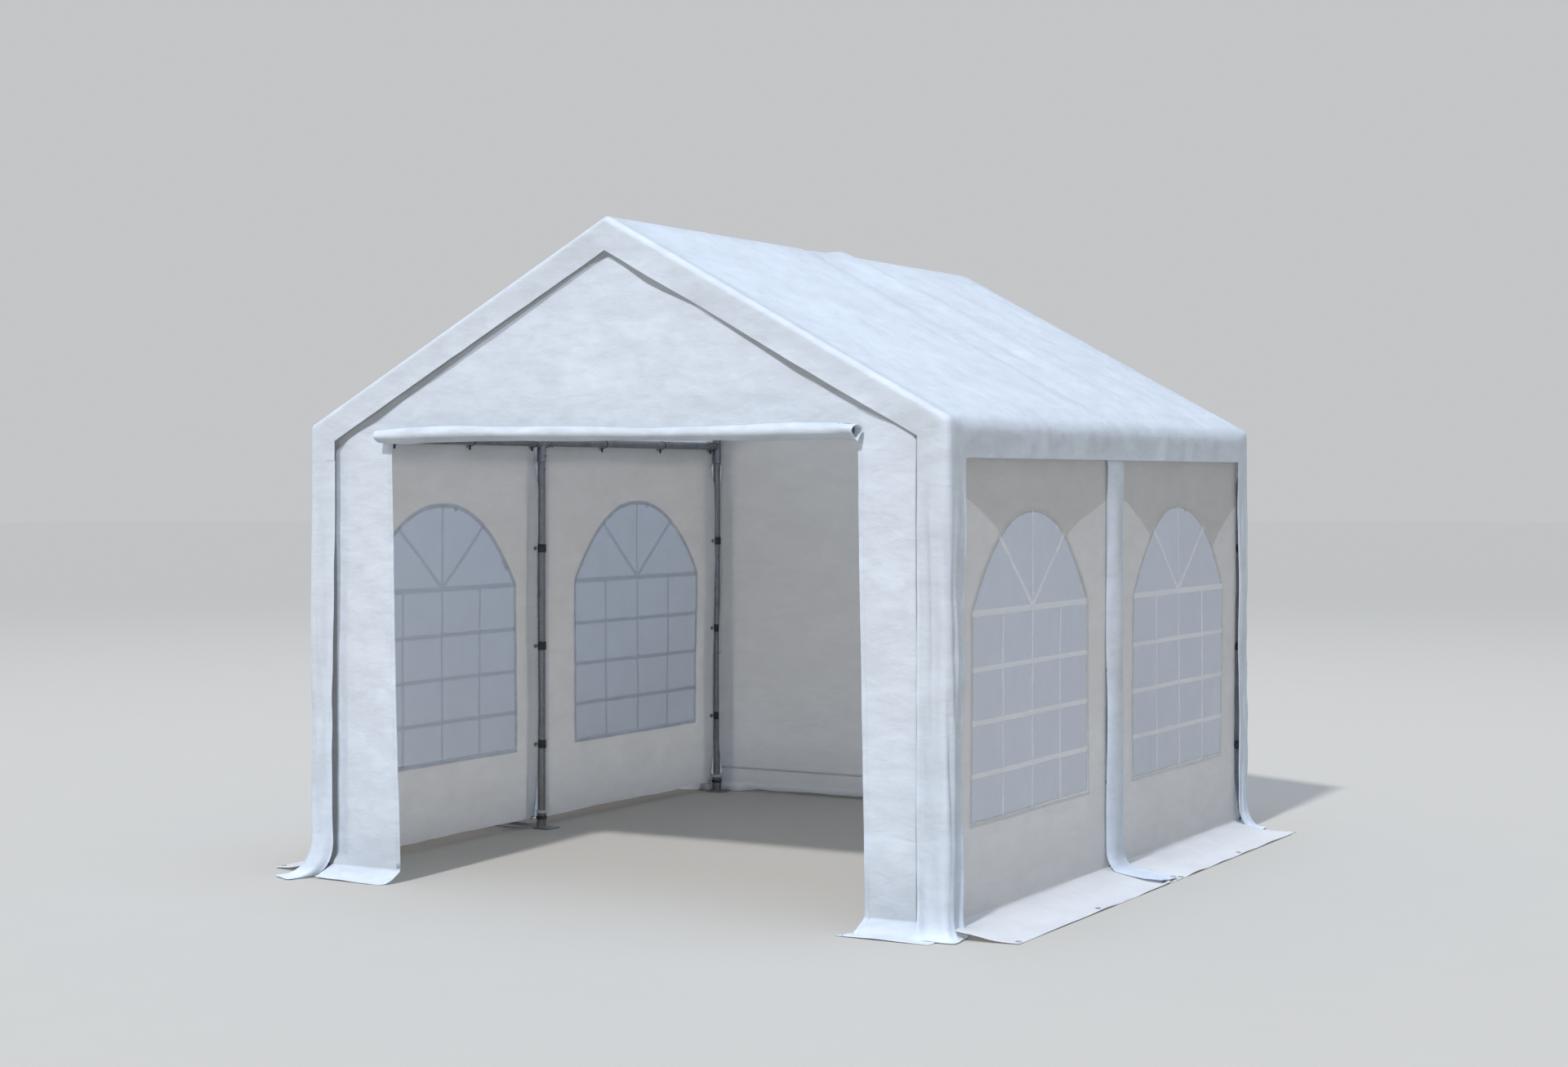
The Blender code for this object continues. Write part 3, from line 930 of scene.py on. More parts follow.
def roof_section(eave_round):
    """The cover's section from the left valance's foot to the right one's: points and normals."""
    lean = math.pi / 2 - PITCH
    reach = HALF_WIDTH - eave_round
    eave = np.array([-reach, RIDGE_HEIGHT - SLOPE * reach - eave_round / math.cos(PITCH)])
    ridge = np.array([0.0, RIDGE_HEIGHT - RIDGE_ROUND / math.cos(PITCH)])
    points, normals = [], []

    def bend(middle, radius, turns):
        for turn in turns:
            way = np.array([math.cos(turn), math.sin(turn)])
            points.append(middle + radius * way)
            normals.append(way)

    for z in np.linspace(VALANCE_FOOT, eave[1], 9)[:-1]:
        points.append((-HALF_WIDTH, z))
        normals.append((-1.0, 0.0))
    bend(eave, eave_round, np.linspace(math.pi, math.pi - lean, 11))
    low, square = points[-1], normals[-1]
    top = ridge + RIDGE_ROUND * square
    for i in range(1, SLOPE_STEPS):
        points.append(low + (top - low) * i / SLOPE_STEPS)
        normals.append(square)
    bend(ridge, RIDGE_ROUND, np.linspace(math.pi - lean, math.pi / 2, 6))
    points, normals = np.array(points), np.array(normals)
    mirror = np.array([-1.0, 1.0])
    points = np.concatenate([points, points[:-1][::-1] * mirror])
    normals = np.concatenate([normals, normals[:-1][::-1] * mirror])
    return points, normals


def band_edge(section):
    """The point of the gable band's lower edge that belongs to each point of the section."""
    length = measured(section)
    half = length[-1] / 2
    from_foot = np.minimum(length, length[-1] - length)
    corner = (EAVE_HEIGHT - VALANCE_FOOT) - 0.008
    inner_x = HALF_WIDTH - LEG_FRONT_WIDTH
    head = RIDGE_HEIGHT - GABLE_BAND
    shoulder = head - SLOPE * inner_x
    rise = np.clip(from_foot / corner, 0, 1)
    climb = np.clip((from_foot - corner) / (half - corner), 0, 1)
    x = inner_x * (1 - climb)
    z = VALANCE_FOOT + (shoulder - VALANCE_FOOT) * rise + (head - shoulder) * climb
    return np.stack([x * np.sign(section[:, 0]), z], axis=1)


# How far the inner edge of each leg cover stands out beyond the gable's plane
LEG_STANDS = {
    "front_left": -0.003,
    "front_right": -0.011,
    "rear_left": -0.006,
    "rear_right": -0.006,
}


def band_gap(x, end):
    """How far the lower edge of a gable band stands out beyond its plane, along the slope."""
    if end > 0:
        inner = LEG_STANDS["rear_left"]
        return inner + 0.005 * ripple(x, 0 * x, 31, 0.7) * ramp(1.39 - np.abs(x), 0.0, 0.2)
    places = [-1.53, -1.3, -0.9, -0.4, -0.05, 0, 0.09, 0.18, 0.28, 0.36, 0.42, 0.54, 0.68, 0.80]
    places += [0.86, 0.95, 1.02, 1.11, 1.22, 1.32, 1.53]
    stands = [-3, 3, 5, 3, -1, -6, 4, 15, 10, -8, -12, -6, 4, 10, 12, 4, 11, 9, -2, -11, -11]
    return through(places, np.array(stands) / 1000, x)


def roof_shift(x, y, distance):
    """How far the roof cloth stands out of its plane: sag, creases and waves.

    distance is along the section, from the nearer valance's foot.
    """
    sizes = bpy.context.scene.tent_sizes
    across = np.clip((distance - SLOPE_START) / (SLOPE_END - SLOPE_START), 0, 1)
    between = np.where(y < MID_POST_Y, MID_POST_Y + POST_Y, POST_Y - MID_POST_Y)
    start = np.where(y < MID_POST_Y, -POST_Y, MID_POST_Y)
    bay = np.clip((y - start) / between, 0, 1)
    in_bay = np.sin(math.pi * bay) ** 0.8
    on_slope = np.sin(math.pi * across) ** 0.7
    shift = -sizes.sag * in_bay * on_slope
    broken = 0.65 + 0.35 * ripple(y, 0 * y, 12, 1.1)
    creased = swell(distance, CREASE_PLACE, 0.022) * broken * ramp(in_bay, 0.05, 0.35)
    shift -= sizes.crease * creased
    shift -= 0.016 * swell(y + 0.10 * (1.5 - np.abs(x)), 0.46, 0.105) * ramp(across, 0.02, 0.25)
    shift += 0.0035 * swell(y, MID_POST_Y, 0.05) * ramp(across, 0.05, 0.2)
    shift += 0.0022 * ripple(distance * np.sign(x), y, 14, 0.55, 0.6) * on_slope
    shift += 0.0006 * ripple(distance + x, y, 15, 0.10, 0.35) * on_slope
    near_eave = swell(distance, 0.15, 0.07)
    shift += 0.0011 * ripple(y, distance, 17, 0.055, 9.0) * near_eave
    inside = ramp(HALF_LENGTH - np.abs(y), 0.12, 0.35)
    low = 1 - ramp(distance, 0.02, 0.15)
    shift += (0.0008 + 0.0020 * low) * inside * ripple(y, distance + 3 * x, 16, 0.20, 6.0) * (
        1 - ramp(distance, 0.10, 0.22)
    )
    return shift


def cover_grid():
    """Rows of points over the roof, from the front band's lower edge to the rear band's."""
    section, normals = roof_section(EAVE_ROUND)
    soft_section, _ = roof_section(SOFT_EAVE_ROUND)
    edge = band_edge(section)
    length = measured(section)
    distance = np.minimum(length, length[-1] - length)
    turn_radius = 0.024
    rows = []
    stands = []
    plane = section - normals * turn_radius

    def band_rows(end):
        made = []
        for share in np.linspace(0, 1, 9)[:-1]:
            place = edge + (plane - edge) * share
            stand = band_gap(place[:, 0], end) * (1 - share) ** 1.6
            tremble = 0.0012 * ripple(place[:, 0], place[:, 1], 41 + end, 0.18) * (1 - share)
            tremble = tremble * ramp(place[:, 1], VALANCE_FOOT, VALANCE_FOOT + 0.06)
            y = end * (HALF_LENGTH + stand + tremble)
            made.append(np.stack([place[:, 0], y, place[:, 1]], axis=1))
        for bend in np.linspace(math.pi / 2, 0, 9)[:-1]:
            place = plane + normals * turn_radius * math.cos(bend)
            y = end * (HALF_LENGTH - turn_radius + turn_radius * math.sin(bend))
            made.append(np.stack([place[:, 0], np.full(len(place), y), place[:, 1]], axis=1))
        return made

    rows += band_rows(-1)
    stands += [np.zeros(len(section))] * len(rows)
    reach = HALF_LENGTH - turn_radius
    for y in np.linspace(-reach, reach, int(2 * reach / ROOF_ROW_SPACING)):
        softened = section + (soft_section - section) * ramp(reach - abs(y), 0.0, 0.16)
        rows.append(np.stack([softened[:, 0], np.full(len(section), y), softened[:, 1]], axis=1))
        fade = ramp(reach - abs(y), 0.0, 0.10)
        stands.append(roof_shift(section[:, 0], np.full(len(section), y), distance) * fade)
    ends = band_rows(1)
    rows += ends[::-1]
    stands += [np.zeros(len(section))] * len(ends)
    grid = np.stack(rows)
    shift = np.stack(stands)
    return grid - grid_normals(grid) * shift[..., None], length[-1]


def strip(rows, thickness):
    """A thin closed strip over rows of points, for a hem or a seam."""
    normals = -grid_normals(rows)
    upper = rows + normals * (thickness / 2)
    lower = rows - normals * (thickness / 2)
    ring = np.concatenate([upper, lower[::-1]], axis=0)
    count, columns = ring.shape[:2]
    faces = grid_faces(count, columns, loop_rows=True)
    faces.append(tuple(i * columns for i in range(count)))
    faces.append(tuple(i * columns + columns - 1 for i in range(count - 1, -1, -1)))
    return ring.reshape(-1, 3), faces


def edge_hems(node, grid, start, wide, thickness):
    """Hems along the foot of a grid of cloth and, from a row on, down both of its sides."""
    hems = Gathered()
    for part in (grid[start:, :wide], grid[start:, -wide:]):
        hems.add(*strip(part.transpose(1, 0, 2), thickness))
    hems.add(*strip(grid[-wide:], thickness))
    return hems.piece(f"{node}_hems", finish_of("coated_cover"), "cover_cloth", sharp=50)


class TENT_OT_roof_cover(bpy.types.Operator):
    """Roof cover: one sheet over both slopes, with valances and gable bands"""

    bl_idname = "tent.roof_cover"
    bl_label = "Roof Cover"

    def execute(self, context):
        sizes = context.scene.tent_sizes
        grid, across = cover_grid()
        finish = finish_of("coated_cover")
        cover = grid_sheet("cover_sheet", grid, finish, ["roof_cover"])
        thicken(cover, sizes.cloth)
        hems = Gathered()
        free = np.abs(grid[:, 0, 1]) < HALF_LENGTH - LEG_SIDE_WIDTH + 0.012
        for part in (grid[free, :2], grid[free, -2:]):
            hems.add(*strip(part.transpose(1, 0, 2), HEM_THICKNESS))
        hem = hems.piece("cover_hems", finish, "cover_cloth", sharp=50)
        return {"FINISHED"}


# Covers of the corner posts


LEG_SIDE_WIDTH = 0.145
LEG_CORNER_ROUND = 0.024
LEG_NARROWING = {"front_right": 0.043}
LEG_DRAWN_OUT = {"front_left": 0.0146}
# For each corner: how far its foot reaches out at the gable edge, halfway to the corner, at the
# corner and at the side edge, the same sideways, and the height where it starts
LEG_FEET = {
    "front_left": ((0.049, 0.165, 0.110, 0.060), (0.078, 0.050, 0.110, 0.030), 0.20),
    "front_right": ((0.070, 0.064, 0.058, 0.016), (0.020, 0.038, 0.055, 0.036), 0.15),
    "rear_left": ((0.060, 0.085, 0.110, 0.050), (0.0, 0.020, 0.040, 0.050), 0.17),
    "rear_right": ((0.050, 0.060, 0.070, 0.030), (0.0, 0.038, 0.075, 0.090), 0.17),
}


def leg_plan(count):
    """Plan of a leg cover as (across, along), from its gable edge to its side edge."""
    centre = np.array([HALF_WIDTH - LEG_CORNER_ROUND, HALF_LENGTH - LEG_CORNER_ROUND])
    path = [(HALF_WIDTH - LEG_FRONT_WIDTH, HALF_LENGTH)]
    for turn in np.linspace(math.pi / 2, 0, 9):
        path.append(centre + LEG_CORNER_ROUND * np.array([math.cos(turn), math.sin(turn)]))
    path.append((HALF_WIDTH, HALF_LENGTH - LEG_SIDE_WIDTH))
    return resampled(path, measured(np.array(path))[-1] / (count - 1))


def leg_grid(name, side, end):
    """Columns of points down a leg cover, with its foot turned out on the ground."""
    plan = leg_plan(31)
    length = measured(plan)
    share = length / length[-1]
    corner = (LEG_FRONT_WIDTH - 0.01) / length[-1]
    reach_end, reach_side, fold = LEG_FEET[name]
    stops = [0.0, corner / 2, corner, 1.0]
    out_end = through(stops, reach_end, share)
    out_side = np.interp(share, stops, reach_side)
    seed = 50 + (side > 0) + 2 * (end > 0)
    columns = []
    for i in range(len(plan)):
        reach = math.hypot(out_end[i], out_side[i])
        height = fold * (0.75 + 0.25 * reach / max(out_end.max(), 0.01))
        way = np.array([out_side[i], out_end[i]]) / max(reach, 1e-6)
        bend = np.linspace(0, 1, 26)
        curve_out = reach * (1 - np.cos(bend * math.pi / 2)) ** 1.15
        curve_up = LOW_LIFT + 0.003 + (height - 0.004) * (1 - np.sin(bend * math.pi / 2)) ** 1.1
        straight = np.linspace(VALANCE_FOOT - 0.0002, height, 80)[:-1]
        out = np.concatenate([np.zeros(len(straight)), curve_out])
        up = np.concatenate([straight, curve_up])
        line = np.stack([out, up], axis=1)
        line = rounded(line, 0.0165, 0.03)
        across = plan[i, 0] + way[0] * line[:, 0]
        along = plan[i, 1] + way[1] * line[:, 0]
        columns.append(np.stack([side * across, end * along, line[:, 1]], axis=1))
    count = min(len(c) for c in columns)
    columns = [resampled(c, measured(c)[-1] / (count - 1))[:count] for c in columns]
    grid = np.stack(columns, axis=1)
    normals = grid_normals(grid) * (side * end)
    z = grid[:, :, 2]
    flat = np.broadcast_to(share, z.shape) * length[-1]
    hang = 1 - ramp(z, VALANCE_FOOT - 0.40, VALANCE_FOOT - 0.02)
    shift = 0.0046 * ripple(flat, z, seed, 0.062, 12.0) * hang
    shift += 0.0016 * ripple(flat, z, seed + 9, 0.30) * hang
    near_floor = ramp(z, 0.004, 0.03)
    moved = grid + normals * (shift * (0.3 + 0.7 * near_floor))[..., None]
    front_share = np.clip((plan[:, 0] - plan[0, 0]) / 0.113, 0, 1)
    moved[:, :, 1] += end * LEG_STANDS[name] * (1 - front_share) ** 1.6 * near_floor
    drawn_out = LEG_DRAWN_OUT.get(name, 0.0) * (1 - front_share) * (1 - ramp(z, 0.75, 1.72))
    moved[:, :, 0] += side * drawn_out
    side_share = np.clip((plan[0, 1] - plan[:, 1]) / LEG_SIDE_WIDTH, 0, 1)
    narrowing = LEG_NARROWING.get(name, 0.012) * side_share * (1 - z / VALANCE_FOOT)
    moved[:, :, 1] += end * narrowing
    moved[:, :, 2] = np.maximum(moved[:, :, 2], LOW_LIFT + 0.003)
    return moved, length[-1]


class TENT_OT_leg_covers(bpy.types.Operator):
    """Covers that hang in front of the corner posts, with their feet turned out"""

    bl_idname = "tent.leg_covers"
    bl_label = "Leg Covers"

    def execute(self, context):
        sizes = context.scene.tent_sizes
        for end_name, end in ENDS.items():
            for side_name, side in SIDES.items():
                grid, width = leg_grid(f"{end_name}_{side_name}", side, end)
                node = f"leg_cover_{end_name}_{side_name}"
                finish = finish_of("coated_cover")
                leg = grid_sheet(f"{node}_sheet", grid, finish, [node])
                thicken(leg, sizes.cloth)
                hem = edge_hems(node, grid, 8, 2, HEM_THICKNESS)
        return {"FINISHED"}


# Flaps over the middle posts

POLE_FLAP_WIDTH = 0.178
POLE_FLAP_REACH = 0.240
POLE_FLAP_BEND = 0.115


def pole_flap_grid(side):
    """Rows of points down the flap, from inside the valance to its tongue on the ground."""
    face = HALF_WIDTH - CAD_CLOTH
    top = VALANCE_FOOT + 0.041
    low = 0.007
    fall = [(face, top), (face, POLE_FLAP_BEND + low)]
    for bend in np.linspace(0, math.pi / 2, 9)[1:]:
        out, up = 1 - math.cos(bend), 1 - math.sin(bend)
        fall.append((face + POLE_FLAP_BEND * out, low + POLE_FLAP_BEND * up))
    fall.append((HALF_WIDTH + POLE_FLAP_REACH, low - 0.002))
    line = rounded(fall, 0.014, 0.02)
    walls = np.array(side_fall())[1:]
    line[:, 1] = np.maximum(line[:, 1], np.interp(line[:, 0], *walls.T) + 0.0075)
    count = 19
    across = np.linspace(-0.5, 0.5, count) * POLE_FLAP_WIDTH
    height = line[:, 1]
    out = line[:, 0]
    grid = np.zeros((len(line), count, 3))
    grid[:, :, 0] = side * out[:, None]
    grid[:, :, 1] = MID_POST_Y + across[None, :] * side
    grid[:, :, 2] = height[:, None]
    tongue = ramp(out, face + 0.06, HALF_WIDTH + POLE_FLAP_REACH)[:, None]
    grid[:, :, 1] += tongue * 0.012 * (1 - side)
    grid[:, :, 2] += 0.012 * tongue * swell(across * side, -0.089, 0.05)[None, :]
    normals = -grid_normals(grid)
    down = np.broadcast_to(height[:, None], (len(line), count))
    place = np.broadcast_to(across[None, :], down.shape)
    hang = (1 - ramp(down, top - 0.35, top - 0.05)) * ramp(down, 0.02, 0.10)
    shift = 0.0022 * ripple(place, down, 61 + side, 0.11, 9.0) * hang
    crown = 1 - np.abs(2 * place / POLE_FLAP_WIDTH) ** 2.2
    held = 0.10 + 0.90 * (1 - ramp(down, top - 0.30, top - 0.06)) * ramp(down, 0.0, 0.14)
    shift += (0.025 * crown - 0.008) * held
    shift -= 0.006 * ramp(down, VALANCE_FOOT - 0.03, VALANCE_FOOT + 0.01)
    return grid + normals * shift[..., None]


class TENT_OT_pole_flaps(bpy.types.Operator):
    """Flaps over the wall joints at the middle posts, with their tongues on the ground"""

    bl_idname = "tent.pole_flaps"
    bl_label = "Pole Flaps"

    def execute(self, context):
        sizes = context.scene.tent_sizes
        for side_name, side in SIDES.items():
            grid = pole_flap_grid(side)
            node = f"{side_name}_pole_flap"
            finish = finish_of("coated_cover")
            flap = grid_sheet(f"{node}_sheet", grid, finish, [node])
            thicken(flap, sizes.cloth)
            hem = edge_hems(node, grid, 0, 3, FLAP_HEM_THICKNESS)
            spot = grid[-2, -3 if side > 0 else 2]
            ring = Gathered()
            ring.add(*eyelet(spot + np.array([0, 0, 0.002]), (0, 0, 1), sizes.eyelet))
            metal = ring.piece(f"{node}_eyelet", finish_of("eyelet_metal"), "tube_steel")
        return {"FINISHED"}


# Walls

# A droop beyond the ends of every wall, so that no part of it sinks
NO_DROOP = (8.0, 9.0)
# How far the edge of a wall stays from a post's middle
POST_EDGE = 0.0215


def wall_waves(seed, hooks, top, curls=(), droop=NO_DROOP):
    """Slow waves, faint crumples, small pulls below the hooks, and curls of a hanging wall.

    A curl is (place along the wall of a post, how far in the cloth is drawn beside it above and
    below the middle of its height). Between the two places of droop the flap sinks to the ground.
    """
    height_of_waves = bpy.context.scene.tent_sizes.wave

    def shift(along, height):
        free = ramp(height, -0.4, 0.10) * (1 - 0.6 * ramp(height, top - 0.25, top))
        stand = height_of_waves * ripple(along, height, seed, 0.85, 1.6) * free
        stand += 0.0007 * ripple(along, height, seed + 1, 0.16, 1.3) * free
        for hook in hooks:
            below = np.clip(top - height, 0, None)
            stand += 0.0022 * swell(along, hook, 0.020 + 0.12 * below) * np.exp(-below / 0.22)
        flap = 1 - ramp(height, -0.02, 0.03)
        stand += 0.0022 * (1 + ripple(along, height, seed + 2, 0.45, 0.6)) * flap
        closed = ramp(np.abs(along), *droop)
        stand -= 0.06 * closed * (1 - ramp(height, 0.030, 0.054))
        plumb = ramp(height, 0.06, 0.28) * (1 - ramp(height, 1.66, 1.76))
        for post, high, low in curls:
            beside = 1 - ramp(np.abs(along - post), POST_EDGE, POST_EDGE + 0.060)
            depth = low + (high - low) * ramp(height, 0.80, 1.20)
            stand = stand - depth * beside * plumb
        return stand

    return shift


# Lower edges of the painted shade on the front wall, which stands in for the shadows cast by
# the gable bands and leg covers, as (along, height), and how dark it is: beside the left leg
# cover, below the left and right slopes, and beside the right leg cover
FRONT_PAINTED_SHADE = [
    ([(-1.50, 0.05), (-1.4185, 0.05), (-1.4175, 1.60), (-1.4165, 1.828), (-1.393, 1.844)], 1.0),
    ([(-1.393, 1.844), (-1.288, 1.901), (-1.186, 1.955), (-1.089, 2.009), (-0.993, 2.063),
      (-0.898, 2.116), (-0.804, 2.172), (-0.710, 2.224), (-0.618, 2.279), (-0.526, 2.327),
      (-0.435, 2.378), (-0.345, 2.429), (-0.256, 2.475), (-0.167, 2.528), (-0.079, 2.574),
      (0.008, 2.600)], 0.70),
    ([(-1.393, 1.874), (-0.020, 2.618)], 1.0),
    ([(0.008, 2.600), (0.094, 2.547), (0.179, 2.488), (0.264, 2.449), (0.348, 2.417),
      (0.431, 2.381), (0.514, 2.331), (0.595, 2.280), (0.677, 2.233), (0.757, 2.184),
      (0.837, 2.135), (0.916, 2.089), (0.994, 2.053), (1.072, 2.012), (1.149, 1.973),
      (1.226, 1.941), (1.302, 1.909), (1.362, 1.873), (1.3822, 1.855)], 0.58),
    ([(1.3822, 1.855), (1.3828, 0.055), (1.50, 0.055)], 1.0),
]
END_FOLD = 0.052
SIDE_FOLD = 0.049
# How far a gable wall's ground flap reaches, and half of the wall's width
GABLE_FLAP_REACH = 0.142
GABLE_HALF = SIDE_FACE - CAD_CLOTH - 0.0008


def end_fall():
    """The line that a gable wall follows, from the ridge down and out along the ground."""
    return [
        (END_FACE - 0.001, RIDGE_HEIGHT),
        (END_FACE - 0.001, END_FOLD),
        (END_FACE + 0.036, 0.030),
        (END_FACE + 0.074, 0.006),
        (END_FACE + GABLE_FLAP_REACH * 0.8, 0.0025),
        (END_FACE + GABLE_FLAP_REACH, 0.0018),
    ]


def gable_outline(low_left, low_right):
    """Flat outline of a gable wall, from its ground flap up to the ridge."""
    drop = 0.0055 / math.cos(PITCH)
    eave = RIDGE_HEIGHT - SLOPE * GABLE_HALF - drop
    return [
        (-GABLE_HALF, low_left),
        (GABLE_HALF, low_right),
        (GABLE_HALF, eave),
        (0.0, RIDGE_HEIGHT - drop),
        (-GABLE_HALF, eave),
    ]


def end_place(end):
    """Puts the points of a gable wall in the tent, at its front or rear end."""
    return lambda along, out, up: np.stack([along, end * out, up], axis=1)


class TENT_OT_gable_walls(bpy.types.Operator):
    """Front wall with its doorway, and plain rear wall"""

    bl_idname = "tent.gable_walls"
    bl_label = "Gable Walls"

    def execute(self, context):
        thickness = context.scene.tent_sizes.cloth
        self.front_wall(thickness)
        self.rear_wall(thickness)
        return {"FINISHED"}

    def front_wall(self, thickness):
        finish = finish_of("coated_wall")
        waves = wall_waves(71, [], WALL_TOP)

        def drawn_in(along, height):
            """The front wall's waves, with the hollow beside the left leg cover."""
            hollow = ramp(-along, 1.325, 1.400) * (1 - ramp(-along, 1.435, 1.458))
            plumb = ramp(height, 0.058, 0.10) * (1 - ramp(height, 1.85, 1.92))
            depth = 0.026 - 0.009 * ramp(height, 1.0, 1.6)
            above_roll = (1 - ramp(height, 1.92, 2.06)) * ramp(height, 1.80, 1.92)
            over_door = ramp(1.30 - np.abs(along), 0.0, 0.15)
            stand = waves(along, height) - depth * hollow * plumb
            return stand - 0.012 * above_roll * over_door

        front = Hanging(end_fall(), end_place(-1), drawn_in)
        low = front.height[-1]
        short = low + 0.055
        (left_foot, left_head), (right_foot, right_head) = DOOR_LEFT, DOOR_RIGHT
        outline = [
            (-1.446, short),
            (left_foot - 0.035, short - 0.008),
            (left_foot - 0.004, short + 0.045),
            (left_foot, 0.060),
            (left_head, DOOR_HEAD + 0.006),
            (right_head, DOOR_HEAD + 0.006),
            (right_foot, 0.060),
            (right_foot - 0.004, low + 0.050),
            (right_foot - 0.052, low + 0.004),
            (right_foot + 0.060, low - 0.002),
            (GABLE_HALF, low + 0.010),
            *gable_outline(short, low)[2:],
            (-GABLE_HALF, 0.082),
            (-1.428, 0.050),
        ]
        sheet = front.sheet(
            "front_wall_sheet", outline, [], finish, ["front_wall"], FRONT_PAINTED_SHADE, END_FOLD
        )
        thicken(sheet, thickness)
        hems = Gathered()
        section = hem_section(0.020, 0.0016)
        door = stepped_path(outline[7:2:-1], HEM_SPACING)
        hems.add(*front.welt(door, turned_in(section), loop=False))
        for part in (outline[0:3], outline[7:11]):
            hems.add(*front.welt(stepped_path(part, 0.02), section, loop=False))
        hem = hems.piece("front_wall_hems", finish, "wall_cloth")

    def rear_wall(self, thickness):
        finish = finish_of("coated_panel")
        hooks = [-1.2, -0.7, 0.0, 0.7, 1.2]
        curls = [(side * POST_X, 0.016, 0.040) for side in SIDES.values()]
        waves = wall_waves(75, hooks, WALL_TOP, curls, (1.30, 1.37))
        rear = Hanging(end_fall(), end_place(1), waves)
        low = rear.height[-1]
        base = gable_outline(low, low)
        tied = POST_X - POST_EDGE
        edge = [(GABLE_HALF, 0.06), (tied, 0.10), (tied, 1.77), (GABLE_HALF, 1.82)]
        left = [(-x, z) for x, z in reversed(edge)]
        outline = [*base[:2], *edge, *base[2:], *left]
        sheet = rear.sheet("rear_wall_sheet", outline, [], finish, ["rear_wall"], fold=END_FOLD)
        thicken(sheet, thickness)
        seams = Gathered()
        for path, section in (
            ([(-tied + 0.004, 0.126), (tied - 0.004, 0.126)], hem_section(0.010, 0.0014)),
            (outline[:2], hem_section(0.022, 0.0016)),
            ([(-tied, 1.77), (-tied, 0.75)], hem_section(0.010, 0.0015)),
            ([(tied, 0.75), (tied, 1.77)], hem_section(0.010, 0.0015)),
        ):
            seams.add(*rear.welt(stepped_path(path, HEM_SPACING), section, loop=False))
        seam = seams.piece("rear_wall_seams", finish, "wall_cloth")


# The rolled-up door; its flat is at a share of its radius, and faces down and out

ROLL_RADIUS = 0.0345
ROLL_TURNS = 15.0
ROLL_LEFT = -1.145
ROLL_RIGHT = 1.153
ROLL_FLAT = 0.74
ROLL_FLAT_WAY = math.radians(-58)
ROLL_CLOTH = 0.0007


def roll_middle(x):
    """Height of the roll's middle; it sags a little between the places where it is held."""
    places = [-1.15, -1.10, -1.0, -0.89, -0.72, -0.47, -0.23]
    places += [0.01, 0.24, 0.47, 0.69, 0.91, 1.09, 1.15]
    heights = [1.888, 1.888, 1.890, 1.894, 1.895, 1.894, 1.893]
    heights += [1.889, 1.885, 1.885, 1.888, 1.891, 1.890, 1.886]
    return np.interp(x, places, heights)


def roll_size(x):
    """How thick the roll is at a place along it, against its full radius."""
    places = [-1.15, -1.12, -1.06, -1.0, -0.72, -0.47, -0.23]
    places += [0.01, 0.24, 0.47, 0.69, 0.91, 1.09, 1.15]
    sizes = [0.78, 0.88, 0.96, 1.01, 1.01, 0.93, 0.87]
    sizes += [0.80, 0.78, 0.83, 0.93, 1.01, 0.97, 0.88]
    return np.interp(x, places, sizes)


def roll_shape(turn, radius, x):
    """Out and up from the roll's middle: round above, flat below where the cloth is drawn tight."""
    share = radius / ROLL_RADIUS
    away = np.cos(turn - ROLL_FLAT_WAY)
    flat = ROLL_FLAT / np.maximum(away, 1e-6)
    near = np.where((away > 0) & (flat < 1), flat, 1.0)
    blend = 1 - (1 - near) * ramp(share, 0.3, 0.8)
    out, up = radius * blend * np.cos(turn), radius * blend * np.sin(turn)
    wave = 0.0020 * ripple(x, turn * 0.05, 81, 0.45) * share
    return out + wave * np.cos(turn), up + wave * np.sin(turn)


class TENT_OT_door_roll(bpy.types.Operator):
    """The door leaf, rolled up over the doorway"""

    bl_idname = "tent.door_roll"
    bl_label = "Rolled-Up Door"

    def execute(self, context):
        middle_out = END_FACE + ROLL_RADIUS + 0.0035
        inner = 0.006
        steps = 20
        turns = np.linspace(0, ROLL_TURNS * math.tau, int(ROLL_TURNS * steps))
        share = turns / turns[-1]
        radius = inner + (ROLL_RADIUS - inner) * share ** 0.97
        angle = -turns + math.radians(100)
        columns = 72
        along = np.linspace(0, 1, columns)
        grid = np.zeros((len(turns), columns, 3))
        for j, t in enumerate(along):
            ragged = 0.006 * np.sin(turns * 0.37 + 1.0) * share
            x = ROLL_LEFT + (ROLL_RIGHT - ROLL_LEFT) * t
            x = x + ragged * (1 if t > 0.5 else -0.6) * ramp(abs(t - 0.5), 0.3, 0.5)
            x = x - 0.026 * ramp(0.93 - share, 0.0, 0.08) * ramp(t, 0.93, 1.0)
            x = x - 0.010 * np.cos(angle) * ramp(share, 0.90, 0.95) * ramp(t, 0.97, 1.0)
            pinch = 0.80 * ramp(t, 0.93, 1.0) * np.clip(0.25 - np.sin(angle), 0, 1)
            out, up = roll_shape(angle, radius, x)
            flare = ramp(t, 0.97, 1.0) * 0.006 * share**6
            out = out + flare * np.cos(angle)
            up = up - flare * 1.4 * np.clip(-np.sin(angle), 0, 1)
            closing = 1 - (1 - roll_size(x)) * share
            grid[:, j, 0] = x
            grid[:, j, 1] = -(middle_out + out * closing * (1 - pinch))
            grid[:, j, 2] = roll_middle(x) + up * closing
        finish = finish_of("coated_wall")
        roll = grid_sheet("door_roll_sheet", grid, finish, ["door_roll"])
        # Painted shade on the inner turns at the roll's right end, standing in for the shadow in
        # its open end
        inside = (share[:-1, None] < 0.87) * (along[None, :-1] > 0.96) * 1.0
        set_painted_shade(roll, inside.ravel())
        thicken(roll, ROLL_CLOTH)
        return {"FINISHED"}


# Side walls and windows


